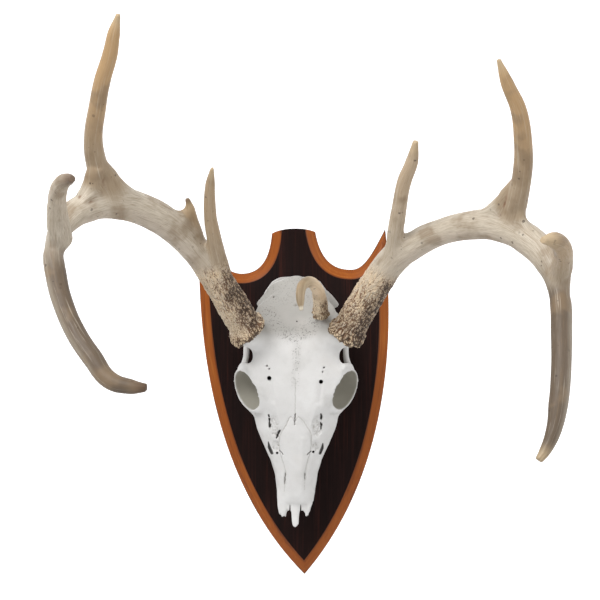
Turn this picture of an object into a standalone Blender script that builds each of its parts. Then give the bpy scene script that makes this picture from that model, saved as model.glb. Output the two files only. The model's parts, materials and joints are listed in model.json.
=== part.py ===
"""A deer's skull with its antlers, hung nose down on a stained wooden shield.

Lengths are metres and up is +Z. The shield's back lies on the wall, the plane y = 0, and the skull
faces -Y. The origin is on the shield's back, behind the skull.

The bone is a free form. Its points are written in bone millimetres, as (x, out, z), for a skull
REFERENCE_LENGTH long: x to the viewer's right, out away from the shield's face, and z up. SKULL_LENGTH
sets its real size. The shield's sizes are its own.
"""

import math

import bmesh
import bpy
from mathutils import Matrix, Vector
from mathutils.geometry import interpolate_bezier

# Driving sizes of the bone
SKULL_LENGTH = 0.252
SEAT_GAP = 0.0003

# Driving sizes of the shield
SHIELD_WIDTH = 0.193
SHIELD_RISE = 0.172
SHIELD_DROP = 0.178
SHIELD_THICKNESS = 0.019
SHIELD_LEAN = math.radians(2.1)
SHIELD_SHIFT = 0.002
SHOULDER_RISE = 0.110
CHAMFER_WIDTH = 0.010
CHAMFER_DEPTH = 0.008
SCALLOP_DEPTH = 0.040
TAB_LEFT = 0.0206
TAB_RIGHT = 0.0239
TAB_ARCH = 0.004
LEFT_SCALLOP = 0.052
RIGHT_SCALLOP = 0.060

# Shape of the shield's outline: where its curves' handles lie, as shares of the sizes above
SIDE_STRAIGHT = 0.06
TIP_HANDLE_ACROSS = 0.63
TIP_HANDLE_DOWN = 0.618
HORN_ACROSS = 0.99
HORN_HANDLE_ACROSS = 1.01
HORN_HANDLE = 0.33
OUTER_RUN = 0.35
OUTER_TOP_ACROSS = 0.91
OUTER_TOP_RISE = 0.32
INNER_TOP_RUN = 0.12
INNER_TOP_RISE = 0.2
INNER_RUN = 0.55

# How far the bars that slice the chamfer stand proud of the wood, and run on past its corners
CUTTER_REACH = 0.003
CUTTER_OVERRUN = 0.02

# How finely the shapes are divided
OUTLINE_STEPS = 14
TUBE_STEPS = 6
TUBE_ROUNDNESS = 4
RING_POINTS = 32
LOFT_STEP = 2
VOXEL = 2.0
SMOOTH_FACTOR = 0.5
SMOOTH_ROUNDS = 3
BONE_TRIANGLES = 7000
BALL_SEGMENTS = 20
BALL_RINGS = 12
RIM_SEGMENTS = 40
RIM_SIDES = 10
WELD_DISTANCE = 0.000001
MERGE_DISTANCE = 0.00002

REFERENCE_LENGTH = 252
BONE_MM = SKULL_LENGTH / REFERENCE_LENGTH
SHIELD_FACE = SHIELD_THICKNESS + SEAT_GAP

# Skull profiles along z, as (z, value) pairs from the back of the head down to the muzzle
ROOF = [(126, 52), (122, 62), (112, 71), (95, 79), (75, 85), (50, 88), (25, 87), (0, 83), (-20, 78),
        (-45, 71), (-70, 62), (-100, 50)]
FLOOR = [(126, 34), (122, 24), (112, 16), (90, 14), (60, 22), (35, 18), (20, 13), (-45, 13), (-60, 16),
         (-80, 19), (-100, 22)]
HALF_WIDTH = [(126, 16), (122, 24), (112, 31), (95, 37), (75, 36), (55, 33), (30, 30), (10, 34), (-8, 40),
              (-15, 42), (-27, 39), (-41, 33), (-57, 26), (-71, 21.5), (-84, 19.7), (-100, 17.5)]
WIDEST_LEVEL = [(126, 43), (95, 42), (60, 45), (30, 50), (0, 36), (-40, 33), (-100, 32)]
PLATE_HALF_WIDTH = [(118, 12), (110, 22), (104, 30), (98, 37), (88, 43), (72, 46), (55, 44.8), (45, 44.8),
                    (36, 47), (28, 46.5), (17, 44), (8, 41), (0, 35), (-10, 27)]
PLATE_DEPTH = 16
NASAL_HALF_WIDTH = [(-14, 6), (-20, 10), (-30, 15), (-42, 16), (-60, 12.5), (-100, 11.5)]
NASAL_DEPTH = 14

# Skull parts that are the same on both sides, given for +x, as (x, out, z, radius) points
CHEEK_ARCH = [(54.5, 41, 30, 4.5), (55.5, 39, 14, 5), (50.5, 37, 3, 5.5), (42, 35, -5, 6), (31, 34, -18, 6)]
REAR_ARCH = [(54.5, 43, 30, 4.2), (50.3, 41, 46, 3), (49.6, 40, 60, 3.2), (46, 38, 74, 4.5),
             (40, 37, 84, 5.5), (32, 36, 92, 6)]
REAR_ARCH_EDGE = [(54, 37, 30, 4), (50, 36, 46, 3), (49.3, 35, 60, 3.2), (45.5, 34, 74, 4), (40, 33, 84, 4.5)]
EYE_BAR = [(44, 80, 37, 4.5), (50.5, 70, 37, 4), (53, 56, 36.5, 4), (54.5, 43, 32, 4.5)]
EYE_FRONT = [(50, 47, 1, 4), (44, 56, -4, 4), (36, 66, -5, 4.5), (29, 73, -1, 4.5)]
NECK_CREST = [(37, 41, 98, 3.5), (29, 53, 109, 3.5), (16, 59, 117, 3.5), (1, 60, 121, 3.8),
              (-15, 59, 117, 3.5), (-28, 53, 109, 3.5), (-37, 41, 98, 3.5)]
JAW_SPUR = [(27, 30, 106, 5), (27, 16, 107, 4.5), (26, 1, 104, 2.8)]
PEDICLE = [(20, 54, 56, 12), (37, 79, 66, 14), (49, 94, 73, 14.5)]
SPIKE_PEDICLE = [(27, 74, 70, 11), (24.3, 89, 89, 7)]
MUZZLE_ENDS = [
    [(-12.5, 40, -88, 7), (-13, 40, -104, 5.5), (-13.5, 40, -113, 3.4)],
    [(-8.5, 43, -94, 3.5), (-8.8, 42, -107, 2)],
    [(-1, 43, -88, 5), (-1, 42, -104, 4.8), (-0.7, 41, -116, 4), (-0.6, 40, -124, 3.4)],
    [(7, 43, -94, 3), (6.7, 42, -108, 1.6)],
    [(12.5, 40, -88, 7), (12.2, 40, -102, 4), (10.4, 40, -114, 1.6)],
]

ORBIT_CENTRE = (47.5, 62, 14)
ORBIT_AXIS = (0.80, 0.50, -0.33)
ORBIT_RADIUS = 20.2
ORBIT_RIM = 2.8
ORBIT_LIP = 2.0
ORBIT_WALL = 2.5
ORBIT_DEPTH = 29

TEETH_PER_SIDE = 6
TOOTH_LEVEL = 10
FIRST_TOOTH = (31, 20)
LAST_TOOTH = (24, -46)
TOOTH_RADII = (6.5, 15, 6.8)

# How deep the block is that levels the skull where it meets the shield
SEAT_BLOCK_DEPTH = 60

# Round lumps and hollows that are the same on both sides: centre and radii
CHEEK = ((37, 44, 6), (14, 20, 13))
NECK_JOINT = ((11, 22, 121), (7.5, 13, 8))
EAR_BULB = ((21, 14, 88), (8, 11, 12))
NOSE_PASSAGE = ((7.5, 32, -108), (5, 7, 28))
NECK_OPENING = ((0, 30, 128), (9, 9, 16))

# Antlers: (x, out, z, radius) points from the burr outwards
LEFT_BEAM = [(-46, 92, 71, 16), (-61, 111, 98, 16.5), (-75, 129, 121, 15), (-93, 149, 148, 14),
             (-117, 171, 172.5, 15), (-139, 189, 185.3, 15.2), (-164, 209, 192.3, 15.8),
             (-188, 229, 188.5, 14.2), (-208, 249, 174, 12.2), (-216, 271, 148, 9.8),
             (-212, 287, 122, 9.8), (-204, 303, 99, 9.4), (-192, 318, 75, 9.2), (-176, 331, 53, 9.1),
             (-160, 339, 33.8, 8.2), (-142, 343, 28.5, 6.8), (-127.5, 345, 27.5, 4)]
LEFT_BROW = [(-66, 131, 113, 9.5), (-73, 149, 139, 8.7), (-78, 171, 164, 7.2), (-80, 194, 191, 5.8),
             (-79, 210, 209, 4.8), (-76.5, 224, 224, 2.2)]
LEFT_NUB = [(-94.5, 158, 162, 9), (-100, 171, 188, 5.6), (-102, 178, 198, 2.8)]
LEFT_SECOND = [(-172, 218, 196, 13), (-180, 239, 223, 10), (-182, 261, 247, 8.8), (-176, 286, 273, 8),
               (-169.5, 306, 296, 7.6), (-161.5, 321, 317, 6.9), (-157.5, 331, 333, 5.8),
               (-152.5, 341, 349.5, 2.4)]
LEFT_THIRD = [(-209, 262, 155, 10.5), (-210, 299, 183, 9), (-206, 325, 198, 8), (-200, 343, 204.5, 6.9),
              (-194, 356, 206, 5.5), (-189.5, 365, 206, 4)]
RIGHT_BEAM = [(49, 92, 69, 16), (64, 113, 97, 16.2), (78, 133, 120.5, 15.2), (94, 153, 143, 14.7),
              (113, 169, 156, 13.5), (135, 185, 166.3, 12.5), (161, 203, 172, 13.4), (187, 221, 171, 15.6),
              (213, 243, 156, 14.5), (230, 265, 132, 13), (235, 285, 103, 9.8), (234, 303, 72, 9.7),
              (232, 316, 42, 9.4), (228, 327, 12, 8.7), (223, 333, -11, 6.9), (215, 337, -28, 5.2),
              (209.5, 339, -35.5, 4)]
RIGHT_BROW = [(90, 150, 134, 9.8), (93, 171, 159, 8.6), (96, 193, 187, 7.2), (100, 213, 212, 6.9),
              (106, 228, 229, 6.1), (109, 241, 247.5, 3)]
RIGHT_SECOND = [(197, 228, 172, 11), (200.5, 250, 194, 9.9), (203, 271, 219, 8.9), (201, 293, 244, 8.4),
                (195, 313, 269, 7.4), (183.5, 329, 291, 5.9), (174.7, 341, 310.5, 2.4)]
RIGHT_THIRD = [(235, 268, 114, 11), (235, 301, 136, 9.7), (231, 331, 148, 8.5), (222, 351, 154, 7.7),
               (210, 363, 154, 3.8)]
SPIKE = [(24.5, 82, 80, 8), (24, 102, 98, 7.3), (22.5, 118, 106.6, 6.8), (20.5, 132, 113.5, 6.2),
         (12.9, 149, 120.2, 5.5), (6.5, 160, 117, 5), (4.5, 166, 110.7, 4.5), (4.3, 171, 102.3, 4),
         (5.3, 174, 93, 2)]
ANTLER_TUBES = [LEFT_BEAM, LEFT_BROW, LEFT_NUB, LEFT_SECOND, LEFT_THIRD, RIGHT_BEAM, RIGHT_BROW,
                RIGHT_SECOND, RIGHT_THIRD, SPIKE]

# Webs that round the forks out: straight struts from a beam point to a tine point
FORK_WEBS = [
    [(-142, 197, 189, 9), (-180, 244, 222, 6)],
    [(-154, 205, 195, 9), (-180, 250, 232, 5)],
    [(-200, 243, 184, 7), (-186, 243, 206, 5)],
    [(-118, 172, 177, 12), (-101, 170, 180, 7)],
    [(-192, 232, 190, 11), (-180, 245, 224, 8)],
    [(-86, 141, 137, 9), (-71, 158, 148, 5)],
    [(-215, 270, 150, 8), (-214, 306, 186, 5)],
    [(166, 208, 174, 9), (201, 245, 195, 7)],
    [(176, 214, 176, 9.5), (202, 262, 213, 5.5)],
    [(211, 243, 163, 8), (202, 250, 190, 6)],
    [(112, 166, 155, 7), (95, 172, 160, 5)],
    [(80, 138, 126, 8), (94, 176, 166, 5)],
    [(234, 276, 118, 8), (235, 310, 141, 5)],
]

# Burrs: centre, direction of growth, ring radius, bead radius and number of beads
BURRS = [
    ((-48, 94, 73.5), (-0.537, 0.5, 0.684), 15.5, 5.5, 13),
    ((50.5, 94, 71), (0.442, 0.574, 0.688), 15.5, 5.5, 13),
    ((24.2, 90, 90), (-0.03, 0.74, 0.67), 6, 3.2, 9),
]
BEAD_UNEVENNESS = 0.14
BEAD_WAVES = 5


def bone_point(x, out, z):
    """World place of a point given in bone millimetres."""
    return Vector((x * BONE_MM, -SHIELD_FACE - out * BONE_MM, z * BONE_MM))


def bone_direction(x, out, z):
    """World direction of a direction given as (x, out, z)."""
    return Vector((x, -out, z)).normalized()


def mirrored(points):
    """The same (x, out, z, radius) points on the other side of the head."""
    return [(-x, out, z, radius) for x, out, z, radius in points]


def value_at(profile, z):
    """Value of a (z, value) profile at z, straight between its points."""
    for (z_above, above), (z_below, below) in zip(profile, profile[1:]):
        if z_above >= z >= z_below:
            share = (z_above - z) / (z_above - z_below)
            return above + (below - above) * share
    return profile[-1][1]


def mesh_from_curve(curve):
    """A closed mesh of a curve, with its caps welded on, and the curve removed."""
    guide = bpy.data.objects.new("guide", curve)
    bpy.context.scene.collection.objects.link(guide)
    evaluated = guide.evaluated_get(bpy.context.evaluated_depsgraph_get())
    mesh = bpy.data.meshes.new_from_object(evaluated)
    bpy.data.objects.remove(guide)
    bpy.data.curves.remove(curve)
    shape = bmesh.new()
    shape.from_mesh(mesh)
    bmesh.ops.remove_doubles(shape, verts=shape.verts, dist=WELD_DISTANCE)
    shape.to_mesh(mesh)
    shape.free()
    return mesh


def tube(points):
    """A closed round tube through (x, out, z, radius) points."""
    curve = bpy.data.curves.new("tube", "CURVE")
    curve.dimensions = "3D"
    curve.bevel_depth = BONE_MM
    curve.bevel_resolution = TUBE_ROUNDNESS
    curve.resolution_u = TUBE_STEPS
    curve.use_fill_caps = True
    spline = curve.splines.new("BEZIER")
    spline.bezier_points.add(len(points) - 1)
    for knot, (x, out, z, radius) in zip(spline.bezier_points, points):
        knot.co = bone_point(x, out, z)
        knot.radius = radius
        knot.handle_left_type = "AUTO"
        knot.handle_right_type = "AUTO"
    return mesh_from_curve(curve)


def ellipsoid(centre, radii, turn=None):
    """A ball with its own radius along x, out and z, turned by a world rotation if one is given."""
    shape = bmesh.new()
    bmesh.ops.create_uvsphere(shape, u_segments=BALL_SEGMENTS, v_segments=BALL_RINGS, radius=BONE_MM)
    size = Matrix.Diagonal((*radii, 1))
    place = Matrix.Translation(bone_point(*centre))
    bmesh.ops.transform(shape, matrix=place @ (turn or Matrix()) @ size, verts=shape.verts)
    mesh = bpy.data.meshes.new("ellipsoid")
    shape.to_mesh(mesh)
    shape.free()
    return mesh


def ball_on_side(lump, side):
    """A lump given as centre and radii for +x, on either side of the head."""
    (x, out, z), radii = lump
    return ellipsoid((side * x, out, z), radii)


def loft(rings):
    """A closed skin over rings of as many points each."""
    shape = bmesh.new()
    rows = [[shape.verts.new(point) for point in ring] for ring in rings]
    for row, next_row in zip(rows, rows[1:]):
        for index in range(len(row)):
            after = (index + 1) % len(row)
            shape.faces.new((row[index], row[after], next_row[after], next_row[index]))
    shape.faces.new(rows[0])
    shape.faces.new(rows[-1])
    bmesh.ops.recalc_face_normals(shape, faces=shape.faces)
    mesh = bpy.data.meshes.new("loft")
    shape.to_mesh(mesh)
    shape.free()
    return mesh


def oval_ring(z, half_width, top, middle, bottom):
    """One cross section: half an ellipse above the widest level and half an ellipse below it."""
    ring = []
    for step in range(RING_POINTS):
        angle = 2 * math.pi * step / RING_POINTS
        height = top - middle if math.sin(angle) > 0 else middle - bottom
        ring.append(bone_point(half_width * math.cos(angle), middle + height * math.sin(angle), z))
    return ring


def levels(profile):
    """Even steps of z down a profile, from its first point to its last."""
    first = profile[0][0]
    last = profile[-1][0]
    steps = round((first - last) / LOFT_STEP)
    return [first + (last - first) * step / steps for step in range(steps + 1)]


def skull_body():
    """Braincase, face and muzzle in one tapering form."""
    rings = []
    for z in levels(ROOF):
        rings.append(oval_ring(z, value_at(HALF_WIDTH, z), value_at(ROOF, z), value_at(WIDEST_LEVEL, z),
                               value_at(FLOOR, z)))
    return loft(rings)


def roof_plate(profile, depth):
    """A lens-shaped plate under the roof line, as wide as its profile says."""
    rings = []
    for z in levels(profile):
        top = value_at(ROOF, z)
        rings.append(oval_ring(z, value_at(profile, z), top, top - depth / 2, top - depth))
    return loft(rings)


def orbit_frame(side):
    """World rotation that turns +Z to look out of the eye socket on one side."""
    x, out, z = ORBIT_AXIS
    return bone_direction(side * x, out, z).to_track_quat("Z", "Y").to_matrix().to_4x4()


def orbit_rim(side):
    """The ring of bone round the eye socket."""
    x, out, z = ORBIT_CENTRE
    bpy.ops.mesh.primitive_torus_add(
        major_segments=RIM_SEGMENTS, minor_segments=RIM_SIDES,
        major_radius=ORBIT_RADIUS * BONE_MM, minor_radius=ORBIT_RIM * BONE_MM)
    ring = bpy.context.object
    mesh = ring.data
    bpy.data.objects.remove(ring)
    mesh.transform(Matrix.Translation(bone_point(side * x, out, z)) @ orbit_frame(side))
    return mesh


def orbit_bowl(side):
    """The bone behind the rim: half a ball, flat where the rim lies."""
    x, out, z = ORBIT_CENTRE
    width = ORBIT_RADIUS + ORBIT_WALL / 2
    mesh = ellipsoid((side * x, out, z), (width, width, ORBIT_DEPTH + ORBIT_WALL), orbit_frame(side))
    shape = bmesh.new()
    shape.from_mesh(mesh)
    axis_x, axis_out, axis_z = ORBIT_AXIS
    cut = bmesh.ops.bisect_plane(
        shape, geom=shape.verts[:] + shape.edges[:] + shape.faces[:], dist=WELD_DISTANCE,
        plane_co=bone_point(side * x, out, z), plane_no=bone_direction(side * axis_x, axis_out, axis_z),
        clear_outer=True)
    rim_edges = [item for item in cut["geom_cut"] if isinstance(item, bmesh.types.BMEdge)]
    bmesh.ops.holes_fill(shape, edges=rim_edges)
    shape.to_mesh(mesh)
    shape.free()
    return mesh


def orbit_hollow(side):
    """The space inside the eye socket."""
    x, out, z = ORBIT_CENTRE
    width = ORBIT_RADIUS - ORBIT_LIP
    return ellipsoid((side * x, out, z), (width, width, ORBIT_DEPTH), orbit_frame(side))


def teeth(side):
    """One row of cheek teeth, worn level where they meet the shield."""
    row = []
    for index in range(TEETH_PER_SIDE):
        share = index / (TEETH_PER_SIDE - 1)
        x = FIRST_TOOTH[0] + (LAST_TOOTH[0] - FIRST_TOOTH[0]) * share
        z = FIRST_TOOTH[1] + (LAST_TOOTH[1] - FIRST_TOOTH[1]) * share
        row.append(ellipsoid((side * x, TOOTH_LEVEL, z), TOOTH_RADII))
    return row


def burr(centre, growth, ring_radius, bead_radius, beads):
    """The knobbly collar where an antler grows from the skull."""
    turn = bone_direction(*growth).to_track_quat("Z", "Y").to_matrix()
    collar = []
    for index in range(beads):
        angle = 2 * math.pi * index / beads
        offset = turn @ Vector((math.cos(angle), math.sin(angle), 0)) * ring_radius
        size = bead_radius * (1 + BEAD_UNEVENNESS * math.sin(BEAD_WAVES * angle + centre[0]))
        x = centre[0] + offset.x
        out = centre[1] - offset.y
        z = centre[2] + offset.z
        collar.append(ellipsoid((x, out, z), (size, size, size)))
    return collar


def skull_forms():
    """Every solid form that is fused into the skull."""
    forms = [
        skull_body(),
        roof_plate(PLATE_HALF_WIDTH, PLATE_DEPTH),
        roof_plate(NASAL_HALF_WIDTH, NASAL_DEPTH),
        tube(NECK_CREST),
    ]
    forms.extend(tube(points) for points in MUZZLE_ENDS)
    forms.append(tube(SPIKE_PEDICLE))
    for side in (-1, 1):
        for points in (CHEEK_ARCH, REAR_ARCH, REAR_ARCH_EDGE, EYE_BAR, EYE_FRONT, JAW_SPUR, PEDICLE):
            forms.append(tube(points if side > 0 else mirrored(points)))
        for lump in (CHEEK, NECK_JOINT, EAR_BULB):
            forms.append(ball_on_side(lump, side))
        forms.append(orbit_rim(side))
        forms.append(orbit_bowl(side))
        forms.extend(teeth(side))
    return forms


def skull_hollows():
    """Spaces cut into the fused bone: eye sockets, nose, neck opening, and the level seat."""
    seat = bmesh.new()
    bmesh.ops.create_cube(seat, size=BONE_MM)
    width = 2 * REFERENCE_LENGTH
    size = Matrix.Diagonal((width, SEAT_BLOCK_DEPTH, width, 1))
    place = Matrix.Translation(bone_point(0, -SEAT_BLOCK_DEPTH / 2, 0))
    bmesh.ops.transform(seat, matrix=place @ size, verts=seat.verts)
    seat_mesh = bpy.data.meshes.new("seat")
    seat.to_mesh(seat_mesh)
    seat.free()
    return [
        orbit_hollow(-1),
        orbit_hollow(1),
        ball_on_side(NOSE_PASSAGE, -1),
        ball_on_side(NOSE_PASSAGE, 1),
        ellipsoid(*NECK_OPENING),
        seat_mesh,
    ]


def fused(name, meshes, collection):
    """One object whose skin wraps all the meshes, smoothed and thinned."""
    joined = bmesh.new()
    for mesh in meshes:
        joined.from_mesh(mesh)
        bpy.data.meshes.remove(mesh)
    whole = bpy.data.meshes.new(name)
    joined.to_mesh(whole)
    joined.free()
    made = bpy.data.objects.new(name, whole)
    collection.objects.link(made)
    remesh = made.modifiers.new("Fuse", "REMESH")
    remesh.mode = "VOXEL"
    remesh.voxel_size = VOXEL * BONE_MM
    smooth = made.modifiers.new("Smooth", "SMOOTH")
    smooth.factor = SMOOTH_FACTOR
    smooth.iterations = SMOOTH_ROUNDS
    apply_modifiers(made)
    thin = made.modifiers.new("Thin", "DECIMATE")
    thin.ratio = BONE_TRIANGLES / (2 * len(made.data.polygons))
    apply_modifiers(made)
    return made


def apply_modifiers(target):
    """Make the object's mesh what its modifiers show, and take them off."""
    evaluated = target.evaluated_get(bpy.context.evaluated_depsgraph_get())
    mesh = bpy.data.meshes.new_from_object(evaluated)
    target.modifiers.clear()
    before = target.data
    target.data = mesh
    bpy.data.meshes.remove(before)
    mesh.name = target.name


def cut(target, meshes):
    """Cut each mesh out of the target."""
    guides = bpy.context.scene.collection
    for mesh in meshes:
        cutter = bpy.data.objects.new("cutter", mesh)
        cutter.hide_render = True
        cutter.display_type = "WIRE"
        guides.objects.link(cutter)
        modifier = target.modifiers.new("Cut", "BOOLEAN")
        modifier.operation = "DIFFERENCE"
        modifier.solver = "EXACT"
        modifier.object = cutter
        apply_modifiers(target)
        bpy.data.objects.remove(cutter)
        bpy.data.meshes.remove(mesh)
    tidy = bmesh.new()
    tidy.from_mesh(target.data)
    bmesh.ops.remove_doubles(tidy, verts=tidy.verts, dist=MERGE_DISTANCE)
    bmesh.ops.dissolve_degenerate(tidy, edges=tidy.edges, dist=MERGE_DISTANCE)
    tidy.to_mesh(target.data)
    tidy.free()


def plain_material(name, colour, roughness):
    """A material with one colour and roughness."""
    material = bpy.data.materials.new(name)
    material.use_nodes = True
    shader = material.node_tree.nodes["Principled BSDF"]
    shader.inputs["Base Color"].default_value = (*colour, 1)
    shader.inputs["Roughness"].default_value = roughness
    shader.inputs["Metallic"].default_value = 0
    return material


def shield_side(side):
    """Bezier stretch from one shoulder down to the tip, as knot, handle, handle, knot."""
    half = SHIELD_WIDTH / 2
    return [
        Vector((side * half, SHOULDER_RISE)),
        Vector((side * half, -SIDE_STRAIGHT * SHIELD_DROP)),
        Vector((side * half * TIP_HANDLE_ACROSS, -TIP_HANDLE_DOWN * SHIELD_DROP)),
        Vector((0, -SHIELD_DROP)),
    ]


def shield_horn_edge(side):
    """Bezier stretch from one horn down to the shoulder."""
    half = SHIELD_WIDTH / 2
    handle = HORN_HANDLE * (SHIELD_RISE - SHOULDER_RISE)
    return [
        Vector((side * half * HORN_ACROSS, SHIELD_RISE)),
        Vector((side * half * HORN_HANDLE_ACROSS, SHIELD_RISE - handle)),
        Vector((side * half, SHOULDER_RISE + handle)),
        Vector((side * half, SHOULDER_RISE)),
    ]


def scallop_outer(side, lowest):
    """Bezier stretch from the scallop's lowest point out to the horn."""
    half = SHIELD_WIDTH / 2
    bottom = SHIELD_RISE - SCALLOP_DEPTH
    return [
        Vector((side * lowest, bottom)),
        Vector((side * (lowest + OUTER_RUN * (half - lowest)), bottom)),
        Vector((side * half * OUTER_TOP_ACROSS, bottom + OUTER_TOP_RISE * SCALLOP_DEPTH)),
        Vector((side * half * HORN_ACROSS, SHIELD_RISE)),
    ]


def scallop_inner(side, lowest, tab_edge):
    """Bezier stretch from the tab's corner down to the scallop's lowest point."""
    bottom = SHIELD_RISE - SCALLOP_DEPTH
    run = lowest - tab_edge
    return [
        Vector((side * tab_edge, SHIELD_RISE)),
        Vector((side * (tab_edge + INNER_TOP_RUN * run), bottom + INNER_TOP_RISE * SCALLOP_DEPTH)),
        Vector((side * (tab_edge + INNER_RUN * run), bottom)),
        Vector((side * lowest, bottom)),
    ]


def shield_stretches():
    """The outline's stretches, clockwise from the right horn as seen from the front."""
    tab_top = [
        Vector((-TAB_LEFT, SHIELD_RISE)),
        Vector((-TAB_LEFT / 2, SHIELD_RISE + TAB_ARCH * 4 / 3)),
        Vector((TAB_RIGHT / 2, SHIELD_RISE + TAB_ARCH * 4 / 3)),
        Vector((TAB_RIGHT, SHIELD_RISE)),
    ]
    return {
        "right_horn": shield_horn_edge(1),
        "right_side": shield_side(1),
        "left_side": shield_side(-1)[::-1],
        "left_horn": shield_horn_edge(-1)[::-1],
        "left_outer": scallop_outer(-1, LEFT_SCALLOP)[::-1],
        "left_inner": scallop_inner(-1, LEFT_SCALLOP, TAB_LEFT)[::-1],
        "tab_top": tab_top,
        "right_inner": scallop_inner(1, RIGHT_SCALLOP, TAB_RIGHT),
        "right_outer": scallop_outer(1, RIGHT_SCALLOP),
    }


def flat_board(stretches):
    """The shield's outline as a board of full thickness, with its back on y = 0."""
    curve = bpy.data.curves.new("outline", "CURVE")
    curve.dimensions = "2D"
    curve.fill_mode = "BOTH"
    curve.extrude = SHIELD_THICKNESS / 2
    curve.resolution_u = OUTLINE_STEPS
    spline = curve.splines.new("BEZIER")
    spline.use_cyclic_u = True
    spline.bezier_points.add(len(stretches) - 1)
    ordered = list(stretches.values())
    for index, knot in enumerate(spline.bezier_points):
        before = ordered[index - 1]
        after = ordered[index]
        knot.handle_left_type = "FREE"
        knot.handle_right_type = "FREE"
        knot.co = (*after[0], 0)
        knot.handle_left = (*before[2], 0)
        knot.handle_right = (*after[1], 0)
    mesh = mesh_from_curve(curve)
    upright = Matrix.Rotation(math.radians(90), 4, "X")
    mesh.transform(Matrix.Translation((0, -SHIELD_THICKNESS / 2, 0)) @ upright)
    return mesh


def chamfer_cutter(stretches):
    """A three-sided bar along joined stretches, which slices the front edge off."""
    line = []
    for knot_a, handle_a, handle_b, knot_b in stretches:
        line.extend(interpolate_bezier(knot_a, handle_a, handle_b, knot_b, OUTLINE_STEPS + 1)[1:])
    line.insert(0, stretches[0][0].to_3d())
    line = [Vector((point[0], point[1])) for point in line]
    line.insert(0, line[0] + (line[0] - line[1]).normalized() * CUTTER_OVERRUN)
    line.append(line[-1] + (line[-1] - line[-2]).normalized() * CUTTER_OVERRUN)
    rise = CUTTER_REACH * CHAMFER_DEPTH / CHAMFER_WIDTH
    section = [
        (-CUTTER_REACH, SHIELD_THICKNESS - CHAMFER_DEPTH - rise),
        (CHAMFER_WIDTH + CUTTER_REACH, SHIELD_THICKNESS + rise),
        (-CUTTER_REACH, SHIELD_THICKNESS + rise),
    ]
    rings = []
    for index, point in enumerate(line):
        ahead = line[min(index + 1, len(line) - 1)]
        behind = line[max(index - 1, 0)]
        along = (ahead - behind).normalized()
        inward = Vector((along.y, -along.x))
        ring = []
        for inset, height in section:
            spot = point + inward * inset
            ring.append(Vector((spot.x, -height, spot.y)))
        rings.append(ring)
    return loft(rings)


def make_shield(collection):
    """The wooden shield: flat back, square tab top, and a chamfer along its other front edges."""
    stretches = shield_stretches()
    board = bpy.data.objects.new("shield_board", flat_board(stretches))
    collection.objects.link(board)
    cut(board, [
        chamfer_cutter([stretches["right_horn"], stretches["right_side"]]),
        chamfer_cutter([stretches["left_side"], stretches["left_horn"]]),
        chamfer_cutter([stretches["left_outer"], stretches["left_inner"]]),
        chamfer_cutter([stretches["right_inner"], stretches["right_outer"]]),
    ])
    board.location = (SHIELD_SHIFT, 0, 0)
    board.rotation_euler = (0, -SHIELD_LEAN, 0)
    board.data.materials.append(plain_material("stained_wood", (0.05, 0.025, 0.018), 0.5))


def make_skull(collection):
    """Skull, teeth and antlers as the one bone that they grew as."""
    meshes = skull_forms()
    meshes.extend(tube(points) for points in ANTLER_TUBES)
    meshes.extend(tube(points) for points in FORK_WEBS)
    for centre, growth, ring_radius, bead_radius, beads in BURRS:
        meshes.extend(burr(centre, growth, ring_radius, bead_radius, beads))
    skull = fused("skull_with_antlers", meshes, collection)
    cut(skull, skull_hollows())
    skull.data.shade_smooth()
    skull.data.materials.append(plain_material("bleached_bone", (0.72, 0.70, 0.66), 0.6))


def main():
    for stale in list(bpy.data.objects):
        bpy.data.objects.remove(stale)
    parts = bpy.data.collections.new("deer_skull_mount")
    bpy.context.scene.collection.children.link(parts)
    make_shield(parts)
    make_skull(parts)


main()
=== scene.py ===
# %% [markdown]
# # A deer's skull with antlers on a wooden shield
# The real object is a bleached deer skull, hung nose down on a small stained shield that hangs on a
# wall. The skull and its antlers grew as one bone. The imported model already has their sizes, so this
# lesson models finer skins in the same place: the bleached skull, two grained antlers, the little third
# antler and the chamfered shield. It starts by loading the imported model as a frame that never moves.

import json
import math

import bpy
import numpy as np
from mathutils import Matrix, Vector, noise
from mathutils.geometry import interpolate_bezier

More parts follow.
